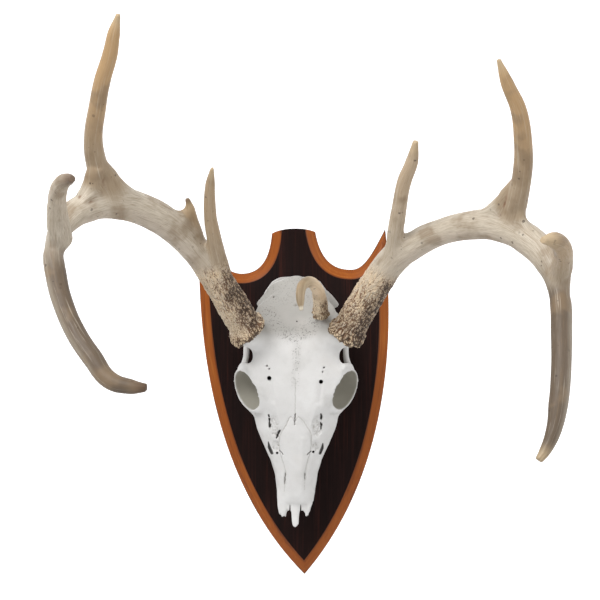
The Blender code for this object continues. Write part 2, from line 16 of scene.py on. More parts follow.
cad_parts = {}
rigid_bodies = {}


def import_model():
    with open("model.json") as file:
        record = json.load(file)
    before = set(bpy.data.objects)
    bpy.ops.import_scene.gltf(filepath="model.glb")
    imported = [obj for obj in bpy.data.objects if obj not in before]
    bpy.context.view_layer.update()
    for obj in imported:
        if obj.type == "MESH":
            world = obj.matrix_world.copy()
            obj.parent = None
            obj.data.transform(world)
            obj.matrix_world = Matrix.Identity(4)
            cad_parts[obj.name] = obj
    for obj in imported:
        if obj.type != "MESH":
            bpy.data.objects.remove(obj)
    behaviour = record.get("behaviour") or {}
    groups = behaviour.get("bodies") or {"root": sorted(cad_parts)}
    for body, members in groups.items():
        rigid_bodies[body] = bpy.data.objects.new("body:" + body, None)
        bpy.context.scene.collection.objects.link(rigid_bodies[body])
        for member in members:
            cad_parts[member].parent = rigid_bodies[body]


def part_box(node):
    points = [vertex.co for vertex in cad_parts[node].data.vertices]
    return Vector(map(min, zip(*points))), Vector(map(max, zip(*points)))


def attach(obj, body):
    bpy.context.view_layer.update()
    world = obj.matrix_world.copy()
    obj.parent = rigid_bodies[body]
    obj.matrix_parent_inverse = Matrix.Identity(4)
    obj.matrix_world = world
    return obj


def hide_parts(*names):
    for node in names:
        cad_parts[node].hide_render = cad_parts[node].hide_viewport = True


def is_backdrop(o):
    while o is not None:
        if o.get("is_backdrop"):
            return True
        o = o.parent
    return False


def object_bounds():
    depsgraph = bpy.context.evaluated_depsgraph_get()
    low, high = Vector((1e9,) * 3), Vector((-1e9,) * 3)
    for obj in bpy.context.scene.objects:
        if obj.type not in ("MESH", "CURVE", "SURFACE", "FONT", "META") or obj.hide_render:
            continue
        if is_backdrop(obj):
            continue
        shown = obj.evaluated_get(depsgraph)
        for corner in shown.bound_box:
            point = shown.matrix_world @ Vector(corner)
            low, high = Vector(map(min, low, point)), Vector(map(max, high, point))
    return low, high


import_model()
cad_low, cad_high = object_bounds()
print("CAD box, mm:", [round(1000 * side) for side in cad_high - cad_low])

# %% [markdown]
# ## The camera
# The photograph looks straight at the wall from a little above the skull's middle. A long lens from
# about two metres gives the same mild perspective, in which the forward antler points look a little
# larger than the shield.

# %% Camera
CAMERA_PLACE = (0.0039, -2.2, 0.103)
LENS_MM = 128.16
SENSOR_MM = 36
UPRIGHT = (math.radians(90), 0, 0)

bpy.ops.object.select_all(action="DESELECT")
bpy.ops.object.camera_add(location=CAMERA_PLACE, rotation=UPRIGHT)
camera = bpy.context.object
camera.name = "camera"
camera.data.lens = LENS_MM
camera.data.sensor_width = SENSOR_MM
camera.data.clip_end = 30
bpy.context.scene.camera = camera
print("camera looks along +Y from", CAMERA_PLACE)

# %% [markdown]
# ## The room and its light
# The photograph has a plain white ground and soft light from every side, with a little more from the
# upper left. A pale, faintly lit wall behind and a pale floor below give that ground without hard shadows,
# and two large area lights with a bright sky make the soft light.

# %% Floor, backdrop and lights
ROOM_SIZE = 12
WALL_BEHIND = 2.5
WALL_GLOW = 0.62
FLOOR_BELOW = 1.2
SKY_STRENGTH = 0.45


def plain(name, colour, roughness, glow=0):
    """A plain material for the room."""
    material = bpy.data.materials.new(name)
    material.use_nodes = True
    shader = material.node_tree.nodes["Principled BSDF"]
    shader.inputs["Base Color"].default_value = (*colour, 1)
    shader.inputs["Roughness"].default_value = roughness
    shader.inputs["Emission Color"].default_value = (1, 1, 1, 1)
    shader.inputs["Emission Strength"].default_value = glow
    return material


bpy.ops.mesh.primitive_plane_add(size=ROOM_SIZE, location=(0, WALL_BEHIND, 0), rotation=UPRIGHT)
backdrop = bpy.context.object
backdrop.name = "backdrop"
backdrop.data.materials.append(plain("pale_wall", (0.9, 0.9, 0.9), 0.9, glow=WALL_GLOW))
bpy.ops.mesh.primitive_plane_add(size=ROOM_SIZE, location=(0, 0, -FLOOR_BELOW))
floor = bpy.context.object
floor.name = "floor"
floor.data.materials.append(plain("pale_floor", (0.75, 0.75, 0.75), 0.9))
for surface in (backdrop, floor):
    surface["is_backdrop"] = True

LIGHTS = [
    ("key_light", (-1.2, -2.0, 1.9), 1.6, 72),
    ("side_light", (1.9, -1.4, 1.0), 1.8, 18),
]
AIM = Vector((0, -0.15, 0.05))
for name, spot, size, power in LIGHTS:
    bpy.ops.object.light_add(type="AREA", location=spot)
    lamp = bpy.context.object
    lamp.name = name
    lamp.data.size = size
    lamp.data.energy = power
    lamp.rotation_euler = (AIM - Vector(spot)).to_track_quat("-Z", "Y").to_euler()

sky = bpy.data.worlds.new("soft_sky")
sky.use_nodes = True
sky.node_tree.nodes["Background"].inputs["Color"].default_value = (1, 1, 1, 1)
sky.node_tree.nodes["Background"].inputs["Strength"].default_value = SKY_STRENGTH
bpy.context.scene.world = sky
bpy.context.scene.view_settings.view_transform = "Standard"
print("room made with", len(LIGHTS), "lights")

# %% [markdown]
# ## Where things are
# The skull is measured in millimetres of bone: x to the viewer's right, out from the shield's face, and
# z up. One small function turns such a point into the scene's metres, so every spine and hole below can
# be read as a plain measure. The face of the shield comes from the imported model.

# %% Bone millimetres
MM = 0.001
SEAT_GAP = 0.0003
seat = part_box("shield_board")[0].y - SEAT_GAP


def place(x, out, z):
    """World place of a point in bone millimetres."""
    return Vector((x * MM, seat - out * MM, z * MM))


def facing(x, out, z):
    """World direction of a direction in bone axes."""
    return Vector((x, -out, z)).normalized()


print("the skull's seat is", round(-seat / MM, 1), "mm from the wall")

# %% [markdown]
# ## Tubes and balls
# Bone is a free form, and the quickest way to one is to gather simple solids and wrap one skin round
# them. A tube is a bezier curve with a radius at each knot, made a mesh. A ball is a sphere that is
# stretched and turned. Both are closed, so the skin has no holes.

# %% Simple solids
CLOSE = 0.000001
TUBE_STEPS = 10
TUBE_ROUNDNESS = 6


def only(piece):
    """Select this piece alone and make it active."""
    bpy.ops.object.select_all(action="DESELECT")
    piece.select_set(True)
    bpy.context.view_layer.objects.active = piece


def curve_through(points):
    """A bezier curve through (x, out, z, radius) points."""
    bpy.ops.object.select_all(action="DESELECT")
    bpy.ops.curve.primitive_bezier_curve_add()
    guide = bpy.context.object
    spline = guide.data.splines[0]
    spline.bezier_points.add(len(points) - 2)
    for knot, (x, out, z, radius) in zip(spline.bezier_points, points):
        knot.co = place(x, out, z)
        knot.radius = radius
        knot.handle_left_type = "AUTO"
        knot.handle_right_type = "AUTO"
    return guide


def as_mesh(drawn):
    """The curve as a closed mesh."""
    only(drawn)
    bpy.ops.object.convert(target="MESH")
    bpy.ops.object.mode_set(mode="EDIT")
    bpy.ops.mesh.select_all(action="SELECT")
    bpy.ops.mesh.remove_doubles(threshold=CLOSE)
    bpy.ops.mesh.normals_make_consistent(inside=False)
    bpy.ops.object.mode_set(mode="OBJECT")
    return bpy.context.object


def tube(points):
    """A closed round tube through the points."""
    guide = curve_through(points)
    guide.data.bevel_depth = MM
    guide.data.bevel_resolution = TUBE_ROUNDNESS
    guide.data.resolution_u = TUBE_STEPS
    guide.data.use_fill_caps = True
    return as_mesh(guide)


def settled(made, spot, size=(1, 1, 1), turn=None):
    """The new solid, moved, stretched and turned for good."""
    made.location = spot
    made.scale = size
    if turn:
        made.rotation_euler = turn.to_euler()
    bpy.ops.object.transform_apply(location=True, rotation=True, scale=True)
    return made


def ball(centre, radii, turn=None, segments=40, rings=24):
    """A closed ball with its own radius along x, out and z, turned if a rotation is given."""
    bpy.ops.object.select_all(action="DESELECT")
    bpy.ops.mesh.primitive_uv_sphere_add(segments=segments, ring_count=rings, radius=MM)
    return settled(bpy.context.object, place(*centre), radii, turn)


def both_sides(points):
    """The points for +x, and the same points on the other side."""
    return [points, [(-x, *rest) for x, *rest in points]]


print("tubes and balls are ready")

# %% [markdown]
# ## One skin over many solids
# Joined solids still overlap inside. A voxel remesh finds the outside of them all and lays an even grid
# of faces over it, and a few rounds of smoothing melt the seams into the flowing forms of bone. Hollows
# are cut with booleans between two remeshes, so that their edges are rounded too.

# %% Fuse, smooth and carve
MELT_FACTOR = 0.5


def wrap(piece, voxel, rounds):
    """One even skin over the piece, smoothed."""
    only(piece)
    skin = piece.modifiers.new("Skin", "REMESH")
    skin.mode = "VOXEL"
    skin.voxel_size = voxel * MM
    bpy.ops.object.modifier_apply(modifier=skin.name)
    if rounds:
        melt = piece.modifiers.new("Melt", "SMOOTH")
        melt.factor = MELT_FACTOR
        melt.iterations = rounds
        bpy.ops.object.modifier_apply(modifier=melt.name)


def joined(name, solids):
    """The solids as one object."""
    bpy.ops.object.select_all(action="DESELECT")
    for solid in solids:
        solid.select_set(True)
    bpy.context.view_layer.objects.active = solids[0]
    if len(solids) > 1:
        bpy.ops.object.join()
    whole = bpy.context.object
    whole.name = name
    return whole


def carve(piece, cutter):
    """Cut one closed solid out of the piece."""
    only(piece)
    cut = piece.modifiers.new("Carve", "BOOLEAN")
    cut.operation = "DIFFERENCE"
    cut.solver = "MANIFOLD"
    cut.object = cutter
    bpy.ops.object.modifier_apply(modifier=cut.name)
    bpy.data.objects.remove(cutter)


def rows_of(items, name):
    """One property of all the items, as rows of three numbers."""
    flat = np.empty(len(items) * 3)
    items.foreach_get(name, flat)
    return flat.reshape(-1, 3)


def refine(piece, wanted):
    """Divide the faces whose centre and normal are wanted, once more."""
    only(piece)
    mesh = piece.data
    chosen = wanted(rows_of(mesh.polygons, "center"), rows_of(mesh.polygons, "normal"))
    bpy.ops.object.mode_set(mode="EDIT")
    bpy.ops.mesh.select_mode(type="FACE")
    bpy.ops.mesh.select_all(action="DESELECT")
    bpy.ops.object.mode_set(mode="OBJECT")
    mesh.polygons.foreach_set("select", chosen)
    bpy.ops.object.mode_set(mode="EDIT")
    bpy.ops.mesh.subdivide(number_cuts=1)
    bpy.ops.object.mode_set(mode="OBJECT")
    print(piece.name, "divided", int(chosen.sum()), "of", len(chosen), "faces")


def triangles(piece):
    """How many triangles the piece has."""
    return sum(len(face.vertices) - 2 for face in piece.data.polygons)


print("fusing tools are ready")

# %% [markdown]
# ## Working on many points at once
# Pearls, grooves and pits are moves of single points. With 100,000 points a loop is slow, so they are
# read into a table, worked on together and written back. Masks for the paint are kept on the mesh as
# named attributes: an attribute stays on its point, so paint and relief always agree.

# %% Points, masks and noise
def bone_points(piece):
    """The piece's points as rows of x, out and z in bone millimetres."""
    rows = rows_of(piece.data.vertices, "co") / MM
    return np.column_stack([rows[:, 0], seat / MM - rows[:, 1], rows[:, 2]])


def bone_normals(piece):
    """The piece's normals in bone axes."""
    rows = rows_of(piece.data.vertices, "normal")
    return np.column_stack([rows[:, 0], -rows[:, 1], rows[:, 2]])


def set_points(piece, rows):
    """Write the points back."""
    world = np.column_stack([rows[:, 0], seat / MM - rows[:, 1], rows[:, 2]]) * MM
    piece.data.vertices.foreach_set("co", world.ravel())
    piece.data.update()


def keep_masks(piece, masks):
    """Keep numbers for each point as named attributes."""
    for name, values in masks.items():
        mask = piece.data.attributes.new(name, "FLOAT", "POINT")
        mask.data.foreach_set("value", np.asarray(values, np.float32))


def keep_flow(piece, name, rows):
    """Keep three numbers for each point as a named attribute."""
    flow = piece.data.attributes.new(name, "FLOAT_VECTOR", "POINT")
    flow.data.foreach_set("vector", np.asarray(rows, np.float32).ravel())


def ramp(values, start, end):
    """0 at start, 1 at end, smooth between, for either order of the two."""
    share = np.clip((values - start) / (end - start), 0, 1)
    return share * share * (3 - 2 * share)


def waves(rows, size, shift=0):
    """Smooth noise from -1 to 1 whose bumps are about size across."""
    return np.array([noise.noise(Vector(row)) for row in rows / size + shift])


def layered(rows, layers):
    """Noise of several sizes added up, each given as its size, shift and height."""
    return sum(height * waves(rows, size, shift) for size, shift, height in layers)


def relaxed(piece, rows, rounds):
    """The rows after each point has gone to the middle of its neighbours, some rounds over."""
    mesh = piece.data
    ends = np.empty(len(mesh.edges) * 2, np.int64)
    mesh.edges.foreach_get("vertices", ends)
    first, second = ends.reshape(-1, 2).T
    count = len(rows)
    links = np.bincount(first, minlength=count) + np.bincount(second, minlength=count)
    for _ in range(rounds):
        total = np.empty_like(rows)
        for axis in range(3):
            total[:, axis] = np.bincount(first, rows[second, axis], count)
            total[:, axis] += np.bincount(second, rows[first, axis], count)
        rows = total / links[:, None]
    return rows


def hollowness(piece, rounds):
    """How deep each point lies below its smoothed surroundings, in bone millimetres."""
    rows = bone_points(piece)
    return ((relaxed(piece, rows, rounds) - rows) * bone_normals(piece)).sum(1)


print("point tools are ready")

# %% [markdown]
# ## The skull's body
# Braincase, face and muzzle are one tapering form, and a side view and a plan of a deer's skull give its
# profiles. A cylinder is cut into many rings, and each ring takes its width and heights from the
# profiles: half an ellipse above the widest level and half an ellipse below it. The roof plate and the
# nasal bones are flat lenses under the same roof line.

# %% Skull profiles and the ring form
ROOF = [(126, 52), (122, 62), (112, 71), (95, 79), (75, 85), (50, 88), (25, 87), (0, 83), (-20, 78),
        (-45, 71), (-70, 62), (-100, 50)]
FLOOR = [(126, 34), (122, 24), (112, 16), (90, 14), (60, 22), (35, 18), (20, 13), (-45, 13), (-60, 16),
         (-80, 19), (-100, 22)]
HALF_WIDTH = [(126, 16), (122, 24), (112, 31), (95, 37), (75, 36), (55, 33), (30, 30), (10, 34), (-8, 40),
              (-15, 42), (-27, 39), (-41, 33), (-57, 26), (-71, 21.5), (-84, 19.7), (-100, 17.5)]
WIDEST_LEVEL = [(126, 43), (95, 42), (60, 45), (30, 50), (0, 36), (-40, 33), (-100, 32)]
PLATE_HALF_WIDTH = [(118, 12), (110, 22), (104, 30), (98, 37), (88, 43), (72, 46), (55, 44.8), (45, 44.8),
                    (36, 47), (28, 46.5), (17, 44), (8, 41), (0, 35), (-10, 27)]
PLATE_DEPTH = 16
NASAL_HALF_WIDTH = [(-14, 6), (-20, 10), (-30, 15), (-42, 16), (-60, 12.5), (-100, 11.5)]
NASAL_DEPTH = 14
RING_SIDES = 96


def value_at(profile, z):
    """Value of a (z, value) profile at z, straight between its points."""
    levels = [level for level, _ in reversed(profile)]
    values = [value for _, value in reversed(profile)]
    return np.interp(z, levels, values)


def ring_form(first, last, section):
    """A closed form of rings from z = first down to z = last, each shaped by section(z)."""
    bpy.ops.object.select_all(action="DESELECT")
    bpy.ops.mesh.primitive_cylinder_add(vertices=RING_SIDES, radius=1, depth=1)
    form = bpy.context.object
    lengthwise = [abs(form.data.vertices[a].co.z - form.data.vertices[b].co.z) > 0.5
                  for a, b in (edge.vertices for edge in form.data.edges)]
    bpy.ops.object.mode_set(mode="EDIT")
    bpy.ops.mesh.select_mode(type="EDGE")
    bpy.ops.mesh.select_all(action="DESELECT")
    bpy.ops.object.mode_set(mode="OBJECT")
    form.data.edges.foreach_set("select", lengthwise)
    bpy.ops.object.mode_set(mode="EDIT")
    bpy.ops.mesh.subdivide(number_cuts=int(first - last) - 1)
    bpy.ops.object.mode_set(mode="OBJECT")
    for point in form.data.vertices:
        z = last + (first - last) * (point.co.z + 0.5)
        half_width, top, middle, bottom = section(z)
        height = top - middle if point.co.y < 0 else middle - bottom
        point.co = place(half_width * point.co.x, middle - height * point.co.y, z)
    return form


def body_section(z):
    """Half width, top, widest level and bottom of the skull's body."""
    return value_at(HALF_WIDTH, z), value_at(ROOF, z), value_at(WIDEST_LEVEL, z), value_at(FLOOR, z)


def plate_section(profile, depth):
    """The same for a plate of this depth under the roof line."""
    def section(z):
        top = value_at(ROOF, z)
        return value_at(profile, z), top, top - depth / 2, top - depth
    return section


skull_solids = [
    ring_form(126, -100, body_section),
    ring_form(118, -10, plate_section(PLATE_HALF_WIDTH, PLATE_DEPTH)),
    ring_form(-14, -100, plate_section(NASAL_HALF_WIDTH, NASAL_DEPTH)),
]
print("body, roof plate and nasal bones:", [triangles(solid) for solid in skull_solids], "triangles")

# %% [markdown]
# ## Arches, eye rims, teeth and the broken nose
# Thin bars of bone stand out from the body: the cheek arches, the bar behind each eye and the crest at
# the back. Each is a tube whose radius swells and tapers. The muzzle ends in five splintered prongs,
# as on the real one, whose thin nose bones have broken away. A cheek tooth is two lobes side by side.

# %% Bars, rims, teeth and prongs
SIDE_BARS = {
    "cheek_arch": [(54.5, 41, 30, 4.5), (55.5, 39, 14, 5), (50.5, 37, 3, 5.5), (42, 35, -5, 6),
                   (31, 34, -18, 6)],
    "rear_arch": [(54.5, 43, 30, 4.2), (50.3, 41, 46, 3), (49.6, 40, 60, 3.2), (46, 38, 74, 4.5),
                  (40, 37, 84, 5.5), (32, 36, 92, 6)],
    "rear_arch_edge": [(54, 37, 30, 4), (50, 36, 46, 3), (49.3, 35, 60, 3.2), (45.5, 34, 74, 4),
                       (40, 33, 84, 4.5)],
    "eye_bar": [(44, 80, 37, 4.5), (50.5, 70, 37, 4), (53, 56, 36.5, 4), (54.5, 43, 32, 4.5)],
    "eye_front": [(50, 47, 1, 4), (44, 56, -4, 4), (36, 66, -5, 4.5), (29, 73, -1, 4.5)],
    "jaw_spur": [(27, 30, 106, 5), (27, 16, 107, 4.5), (26, 1, 104, 2.8)],
    "pedicle": [(20, 54, 56, 12), (37, 79, 66, 14), (49, 94, 73, 14.5)],
}
NECK_CREST = [(41, 40, 97, 3.5), (30, 53, 109, 3.5), (16, 59, 117, 3.5), (3, 59, 123, 4.2),
              (-15, 59, 119, 3.5), (-24, 56, 115, 3.5), (-29.5, 51, 107, 3.5), (-37, 41, 98, 3.5)]
THIRD_PEDICLE = [(27, 74, 70, 11), (24.3, 89, 89, 7)]
MUZZLE_ENDS = [
    [(-12.5, 40, -88, 7), (-13, 40, -104, 5.5), (-13.5, 40, -113, 3.4)],
    [(-8.5, 43, -94, 3.5), (-8.8, 42, -107, 2)],
    [(-1, 43, -88, 5), (-1, 42, -104, 4.8), (-0.7, 41, -116, 4), (-0.6, 40, -124, 3.4)],
    [(7, 43, -94, 3), (6.7, 42, -108, 1.6)],
    [(12.5, 40, -88, 7), (12.2, 40, -102, 4), (10.4, 40, -114, 1.6)],
]
SIDE_LUMPS = {
    "cheek": ((37, 44, 6), (14, 20, 13)),
    "neck_joint": ((11, 22, 118), (7.5, 13, 8)),
    "ear_bulb": ((21, 14, 88), (8, 11, 12)),
}
ORBIT_CENTRE = (47.5, 62, 14)
ORBIT_AXIS = (0.80, 0.50, -0.33)
ORBIT_RADIUS = 20.2
ORBIT_RIM = 2.8
ORBIT_LIP = -0.2
ORBIT_WALL = 5
ORBIT_DEPTH = 29
TEETH_PER_SIDE = 6
TOOTH_LEVEL = 10
FIRST_TOOTH = (31, 20)
LAST_TOOTH = (24, -46)
LOBE_RADII = (6, 15, 3.7)
LOBE_GAP = 6.6


def orbit_turn(side):
    """Rotation that turns +Z to look out of the eye socket."""
    x, out, z = ORBIT_AXIS
    return facing(side * x, out, z).to_track_quat("Z", "Y")


def orbit_rim(side):
    """The ring of bone round the eye socket."""
    x, out, z = ORBIT_CENTRE
    bpy.ops.object.select_all(action="DESELECT")
    bpy.ops.mesh.primitive_torus_add(major_segments=72, minor_segments=16, major_radius=ORBIT_RADIUS * MM,
                                     minor_radius=ORBIT_RIM * MM)
    return settled(bpy.context.object, place(side * x, out, z), turn=orbit_turn(side))


def orbit_bowl(side):
    """The bone behind the rim: half a ball, bisected where the rim lies and filled."""
    x, out, z = ORBIT_CENTRE
    width = ORBIT_RADIUS + ORBIT_WALL / 2
    bowl = ball((side * x, out, z), (width, width, ORBIT_DEPTH + ORBIT_WALL), orbit_turn(side))
    axis_x, axis_out, axis_z = ORBIT_AXIS
    bpy.ops.object.mode_set(mode="EDIT")
    bpy.ops.mesh.select_all(action="SELECT")
    bpy.ops.mesh.bisect(plane_co=place(side * x, out, z), plane_no=facing(side * axis_x, axis_out, axis_z),
                        use_fill=True, clear_outer=True)
    bpy.ops.object.mode_set(mode="OBJECT")
    return bowl


for points in SIDE_BARS.values():
    skull_solids.extend(tube(side) for side in both_sides(points))
skull_solids.extend(tube(points) for points in [NECK_CREST, THIRD_PEDICLE, *MUZZLE_ENDS])
for side in (-1, 1):
    for (x, out, z), radii in SIDE_LUMPS.values():
        skull_solids.append(ball((side * x, out, z), radii))
    skull_solids.append(orbit_rim(side))
    skull_solids.append(orbit_bowl(side))
    for index in range(TEETH_PER_SIDE):
        share = index / (TEETH_PER_SIDE - 1)
        x = FIRST_TOOTH[0] + (LAST_TOOTH[0] - FIRST_TOOTH[0]) * share
        z = FIRST_TOOTH[1] + (LAST_TOOTH[1] - FIRST_TOOTH[1]) * share
        for lobe in (-0.5, 0.5):
            skull_solids.append(ball((side * x, TOOTH_LEVEL, z + lobe * LOBE_GAP), LOBE_RADII))
print(len(skull_solids), "solids make the skull")

# %% [markdown]
# ## Fuse the skull and hollow it
# The first wrap makes one body. The eye sockets, the two nose passages, the opening for the neck and the
# level seat on the shield are cut out of it, and a second wrap rounds the cut edges as worn bone is. The
# forehead and the root of the nose are smoothed further, so that the antlers' bases and the nasal bones
# swell out without a crease, and two thin slits part the splinters of the muzzle.

# %% Skull body
SKULL_VOXEL = 1.35
NOSE_PASSAGE = ((7.5, 32, -108), (5, 7, 28))
NECK_OPENING = ((0, 30, 128), (9, 9, 16))
SEAT_BLOCK = (504, 60, 504)
MUZZLE_SLITS = [((-6.1, 40, -115), (0.75, 16, 14)), ((4.6, 40, -115), (0.8, 16, 14))]
FIRST_MELT = 3
SECOND_MELT = 2
SOFT_ROUNDS = 50
FOREHEAD_OUT, FOREHEAD_SIDE = (66, 76), (50, 42)
FOREHEAD_FOOT, FOREHEAD_TOP = (28, 40), (96, 86)
NOSE_ROOT_OUT, NOSE_ROOT_SIDE = (48, 60), (40, 30)
NOSE_ROOT_FOOT, NOSE_ROOT_TOP = (-30, -20), (14, 4)

skull = joined("bleached_skull", skull_solids)
wrap(skull, SKULL_VOXEL, FIRST_MELT)
for side in (-1, 1):
    x, out, z = ORBIT_CENTRE
    width = ORBIT_RADIUS - ORBIT_LIP
    carve(skull, ball((side * x, out, z), (width, width, ORBIT_DEPTH), orbit_turn(side)))
    (x, out, z), radii = NOSE_PASSAGE
    carve(skull, ball((side * x, out, z), radii))
carve(skull, ball(*NECK_OPENING))
bpy.ops.object.select_all(action="DESELECT")
bpy.ops.mesh.primitive_cube_add(size=MM)
carve(skull, settled(bpy.context.object, place(0, -SEAT_BLOCK[1] / 2, 0), SEAT_BLOCK))
wrap(skull, SKULL_VOXEL, SECOND_MELT)
rows = bone_points(skull)
forehead = ramp(rows[:, 1], *FOREHEAD_OUT) * ramp(np.abs(rows[:, 0]), *FOREHEAD_SIDE)
forehead *= ramp(rows[:, 2], *FOREHEAD_FOOT) * ramp(rows[:, 2], *FOREHEAD_TOP)
nose_root = ramp(rows[:, 1], *NOSE_ROOT_OUT) * ramp(np.abs(rows[:, 0]), *NOSE_ROOT_SIDE)
nose_root *= ramp(rows[:, 2], *NOSE_ROOT_FOOT) * ramp(rows[:, 2], *NOSE_ROOT_TOP)
soft = np.maximum(forehead, nose_root)
set_points(skull, rows + soft[:, None] * (relaxed(skull, rows, SOFT_ROUNDS) - rows))
for centre, radii in MUZZLE_SLITS:
    carve(skull, ball(centre, radii))
print("skull body:", triangles(skull), "triangles")

# %% [markdown]
# ## Holes in the face
# Nerves and vessels leave the skull through small round holes over the eyes and beside the nose, and
# two long openings lie lower on the cheeks. They are real holes, so they are cut. A ray finds the bone's
# surface under each one, which keeps the cutter the same depth everywhere.

# %% Cut the holes
ROUND_HOLES = [
    (-26.3, 26.3, 2.1, 12),
    (24.5, 22.8, 2.1, 12),
    (-18.8, -48.7, 1.3, 8),
    (17.1, -47.5, 1.3, 8),
    (0.9, 82.0, 0.8, 2),
]
LONG_HOLES = [
    [(-27.6, -38.0, 0.7), (-26.6, -44.0, 1.9), (-24.2, -49.5, 1.7)],
    [(26.6, -39.6, 0.7), (25.8, -45.0, 1.9), (24.0, -49.6, 1.7)],
    [(-27.1, -10.6, 1.1), (-26.6, -12.4, 0.8)],
]
HOLE_LEAD = 3
HOLE_TAPER = 0.8
LONG_HOLE_DEPTHS = (0.6, 3.0, 5.5, 8.0)
LONG_HOLE_SLANT = 0.02
RAY_START = 200


def surface_out(x, z):
    """How far out the skull's front surface lies at x and z."""
    start = place(x, RAY_START, z)
    found, spot, _, _ = skull.ray_cast(start, Vector((0, 1, 0)))
    return (seat - spot.y) / MM if found else 0


for x, z, radius, depth in ROUND_HOLES:
    top = surface_out(x, z)
    carve(skull, tube([(x, top + HOLE_LEAD, z, radius), (x, top - depth, z, radius * HOLE_TAPER)]))
for points in LONG_HOLES:
    for depth in LONG_HOLE_DEPTHS:
        carve(skull, tube([(x * (1 - LONG_HOLE_SLANT * depth), surface_out(x, z) - depth, z, radius)
                           for x, z, radius in points]))
print("skull with holes:", triangles(skull), "triangles")

# %% [markdown]
# ## Seams, slits and worn places on the face
# Skull bones meet in fine seams. Their lines are short lists of places across the forehead and nose, and
# each point of the mesh measures how far it lies from the nearest one. Near a seam the surface dips a
# little, and the same measure is kept as a mask so that the paint can darken it. Slits, pits and
# grooves are made in the same way, ridges rise instead, and the thin cheeks beside the nose are uneven.
# The face is divided once more first, so that a seam a millimetre wide has points to live on.

# %% Lines on the skull
MIDLINE = [(-0.5, 66), (0.2, 56), (-0.3, 47), (0.1, 38), (-0.4, 27), (-0.8, 13), (-0.8, -3), (-1.0, -13)]
MIDLINE_SLIT = [(-0.9, -9), (-1.0, -14), (-1.4, -20)]
NASAL_LEFT = [(-2.0, -16), (-3.2, -13), (-5.0, -11.5), (-6.9, -13.1), (-9.3, -19.6), (-12.8, -25.1),
              (-15.8, -31.1), (-17.2, -40.1), (-15.4, -50.2), (-12.9, -58.4), (-10.4, -67.3),
              (-11.0, -76), (-12.0, -88)]
NASAL_RIGHT = [(0.0, -16), (0.9, -13), (2.1, -11.5), (4.9, -13.6), (7.8, -17.1), (10.8, -22.1),
               (13.4, -26.1), (15.3, -31.1), (15.2, -40.1), (13.3, -50.2), (10.8, -59.4),
               (8.6, -68.3), (8.5, -76), (8.3, -86)]
CORONAL = [(-29, 92), (-22.6, 83.4), (-17.1, 74.3), (-10.8, 70.6), (-3.9, 68.2), (2.9, 69.7),
           (9.2, 72.6), (14.7, 76.5), (17.9, 80.4), (24, 88)]
SLITS = [
    [(-26.4, -14.5), (-26.1, -18), (-25.8, -22.5)],
    [(-15.9, -25.8), (-17.6, -29.5), (-18.6, -31)],
    [(-17.9, -31.5), (-19.4, -33.5)],
    [(24.6, -18.5), (25.0, -21), (24.4, -24.5)],
    [(24.5, -9.5), (24.8, -14)],
]
THIN_SLITS = [[(-16.0, -46.5), (-14.4, -47.7), (-12.9, -50.0)],
              [(14.5, -46.9), (12.8, -48.2), (11.4, -50.2)],
              [(-10.4, -69), (-11.3, -80)], [(8.5, -69), (8.4, -75)], MIDLINE_SLIT]
PITS = [(-28.4, 38.3, 0.8), (-26.3, 35.4, 0.7), (27.5, 36.7, 0.8), (26.2, 32.4, 0.6), (-22.0, 106.0, 0.8),
        (0.0, 97.5, 0.7)]
SUNKEN_CHEEKS = [((-21.5, -22), (5, 12)), ((20.5, -22), (5, 12)), ((-20, -42), (4, 6)),
                 ((19.5, -42), (4, 6))]
EYE_GROOVES = [[(-26.5, 24), (-25, 14), (-23, 5)], [(24.7, 20), (24, 11), (22, 2)]]
FACE_RIDGES = [[(-21, -1), (-16, -20)], [(20.5, -1), (15.5, -20)], [(6, -34), (5.5, -88)]]
NASAL_MIDDLE = -0.9
NASAL_EDGE = [(-11, 4), (-20, 8), (-31, 15), (-40, 16.2), (-50, 14.4), (-60, 11.5), (-70, 9.5),
              (-90, 10.5)]
FACE_BOX = (31, -56, 42)
WANDER_SIZE, WANDER = 2.2, 0.45
SEAM_WIDTH, SEAM_DIP = 1.5, 0.35
SLIT_WIDTH, SLIT_SPREAD, SLIT_DIP = 0.9, 0.7, 3.2
THIN_SLIT_WIDTH, THIN_SLIT_SPREAD, THIN_SLIT_SHARE = 0.95, 0.4, 0.8
GROOVE_WIDTH, GROOVE_DIP = 2.6, 0.9
RIDGE_WIDTH, RIDGE_RISE = 2.4, 0.8
LEDGE_WIDTH, LEDGE_DIP = 4.5, 0.9
SWELLS = [(26, 3, 0.5), (9, 5, 0.22), (3, 8, 0.07)]
LACE = [(2.6, 9, 0.9), (1.4, 4, 0.6)]
FRONT_TURN, FRONT_OUT = (0.05, 0.3), (26, 34)


def face_faces(centres, normals):
    """Faces on the front of the face, between the muzzle and the forehead."""
    half_width, low, high = FACE_BOX
    x = centres[:, 0] / MM
    z = centres[:, 2] / MM
    return (np.abs(x) < half_width) & (z > low) & (z < high) & (normals[:, 1] < -0.35)


def line_distance(rows, line):
    """Distance in the front view from each point to the nearest stretch of the line."""
    spots = rows[:, [0, 2]]
    nearest = np.full(len(rows), 1e9)
    for start, end in zip(line, line[1:]):
        start = np.array(start, float)
        run = np.array(end, float) - start
        share = np.clip((spots - start) @ run / (run @ run), 0, 1)
        gap = np.linalg.norm(spots - start - share[:, None] * run, axis=1)
        nearest = np.minimum(nearest, gap)
    return nearest


def furrow(gap, width):
    """A smooth furrow: 1 where the gap is 0, falling off over the width."""
    return np.exp(-(gap / width) ** 2)


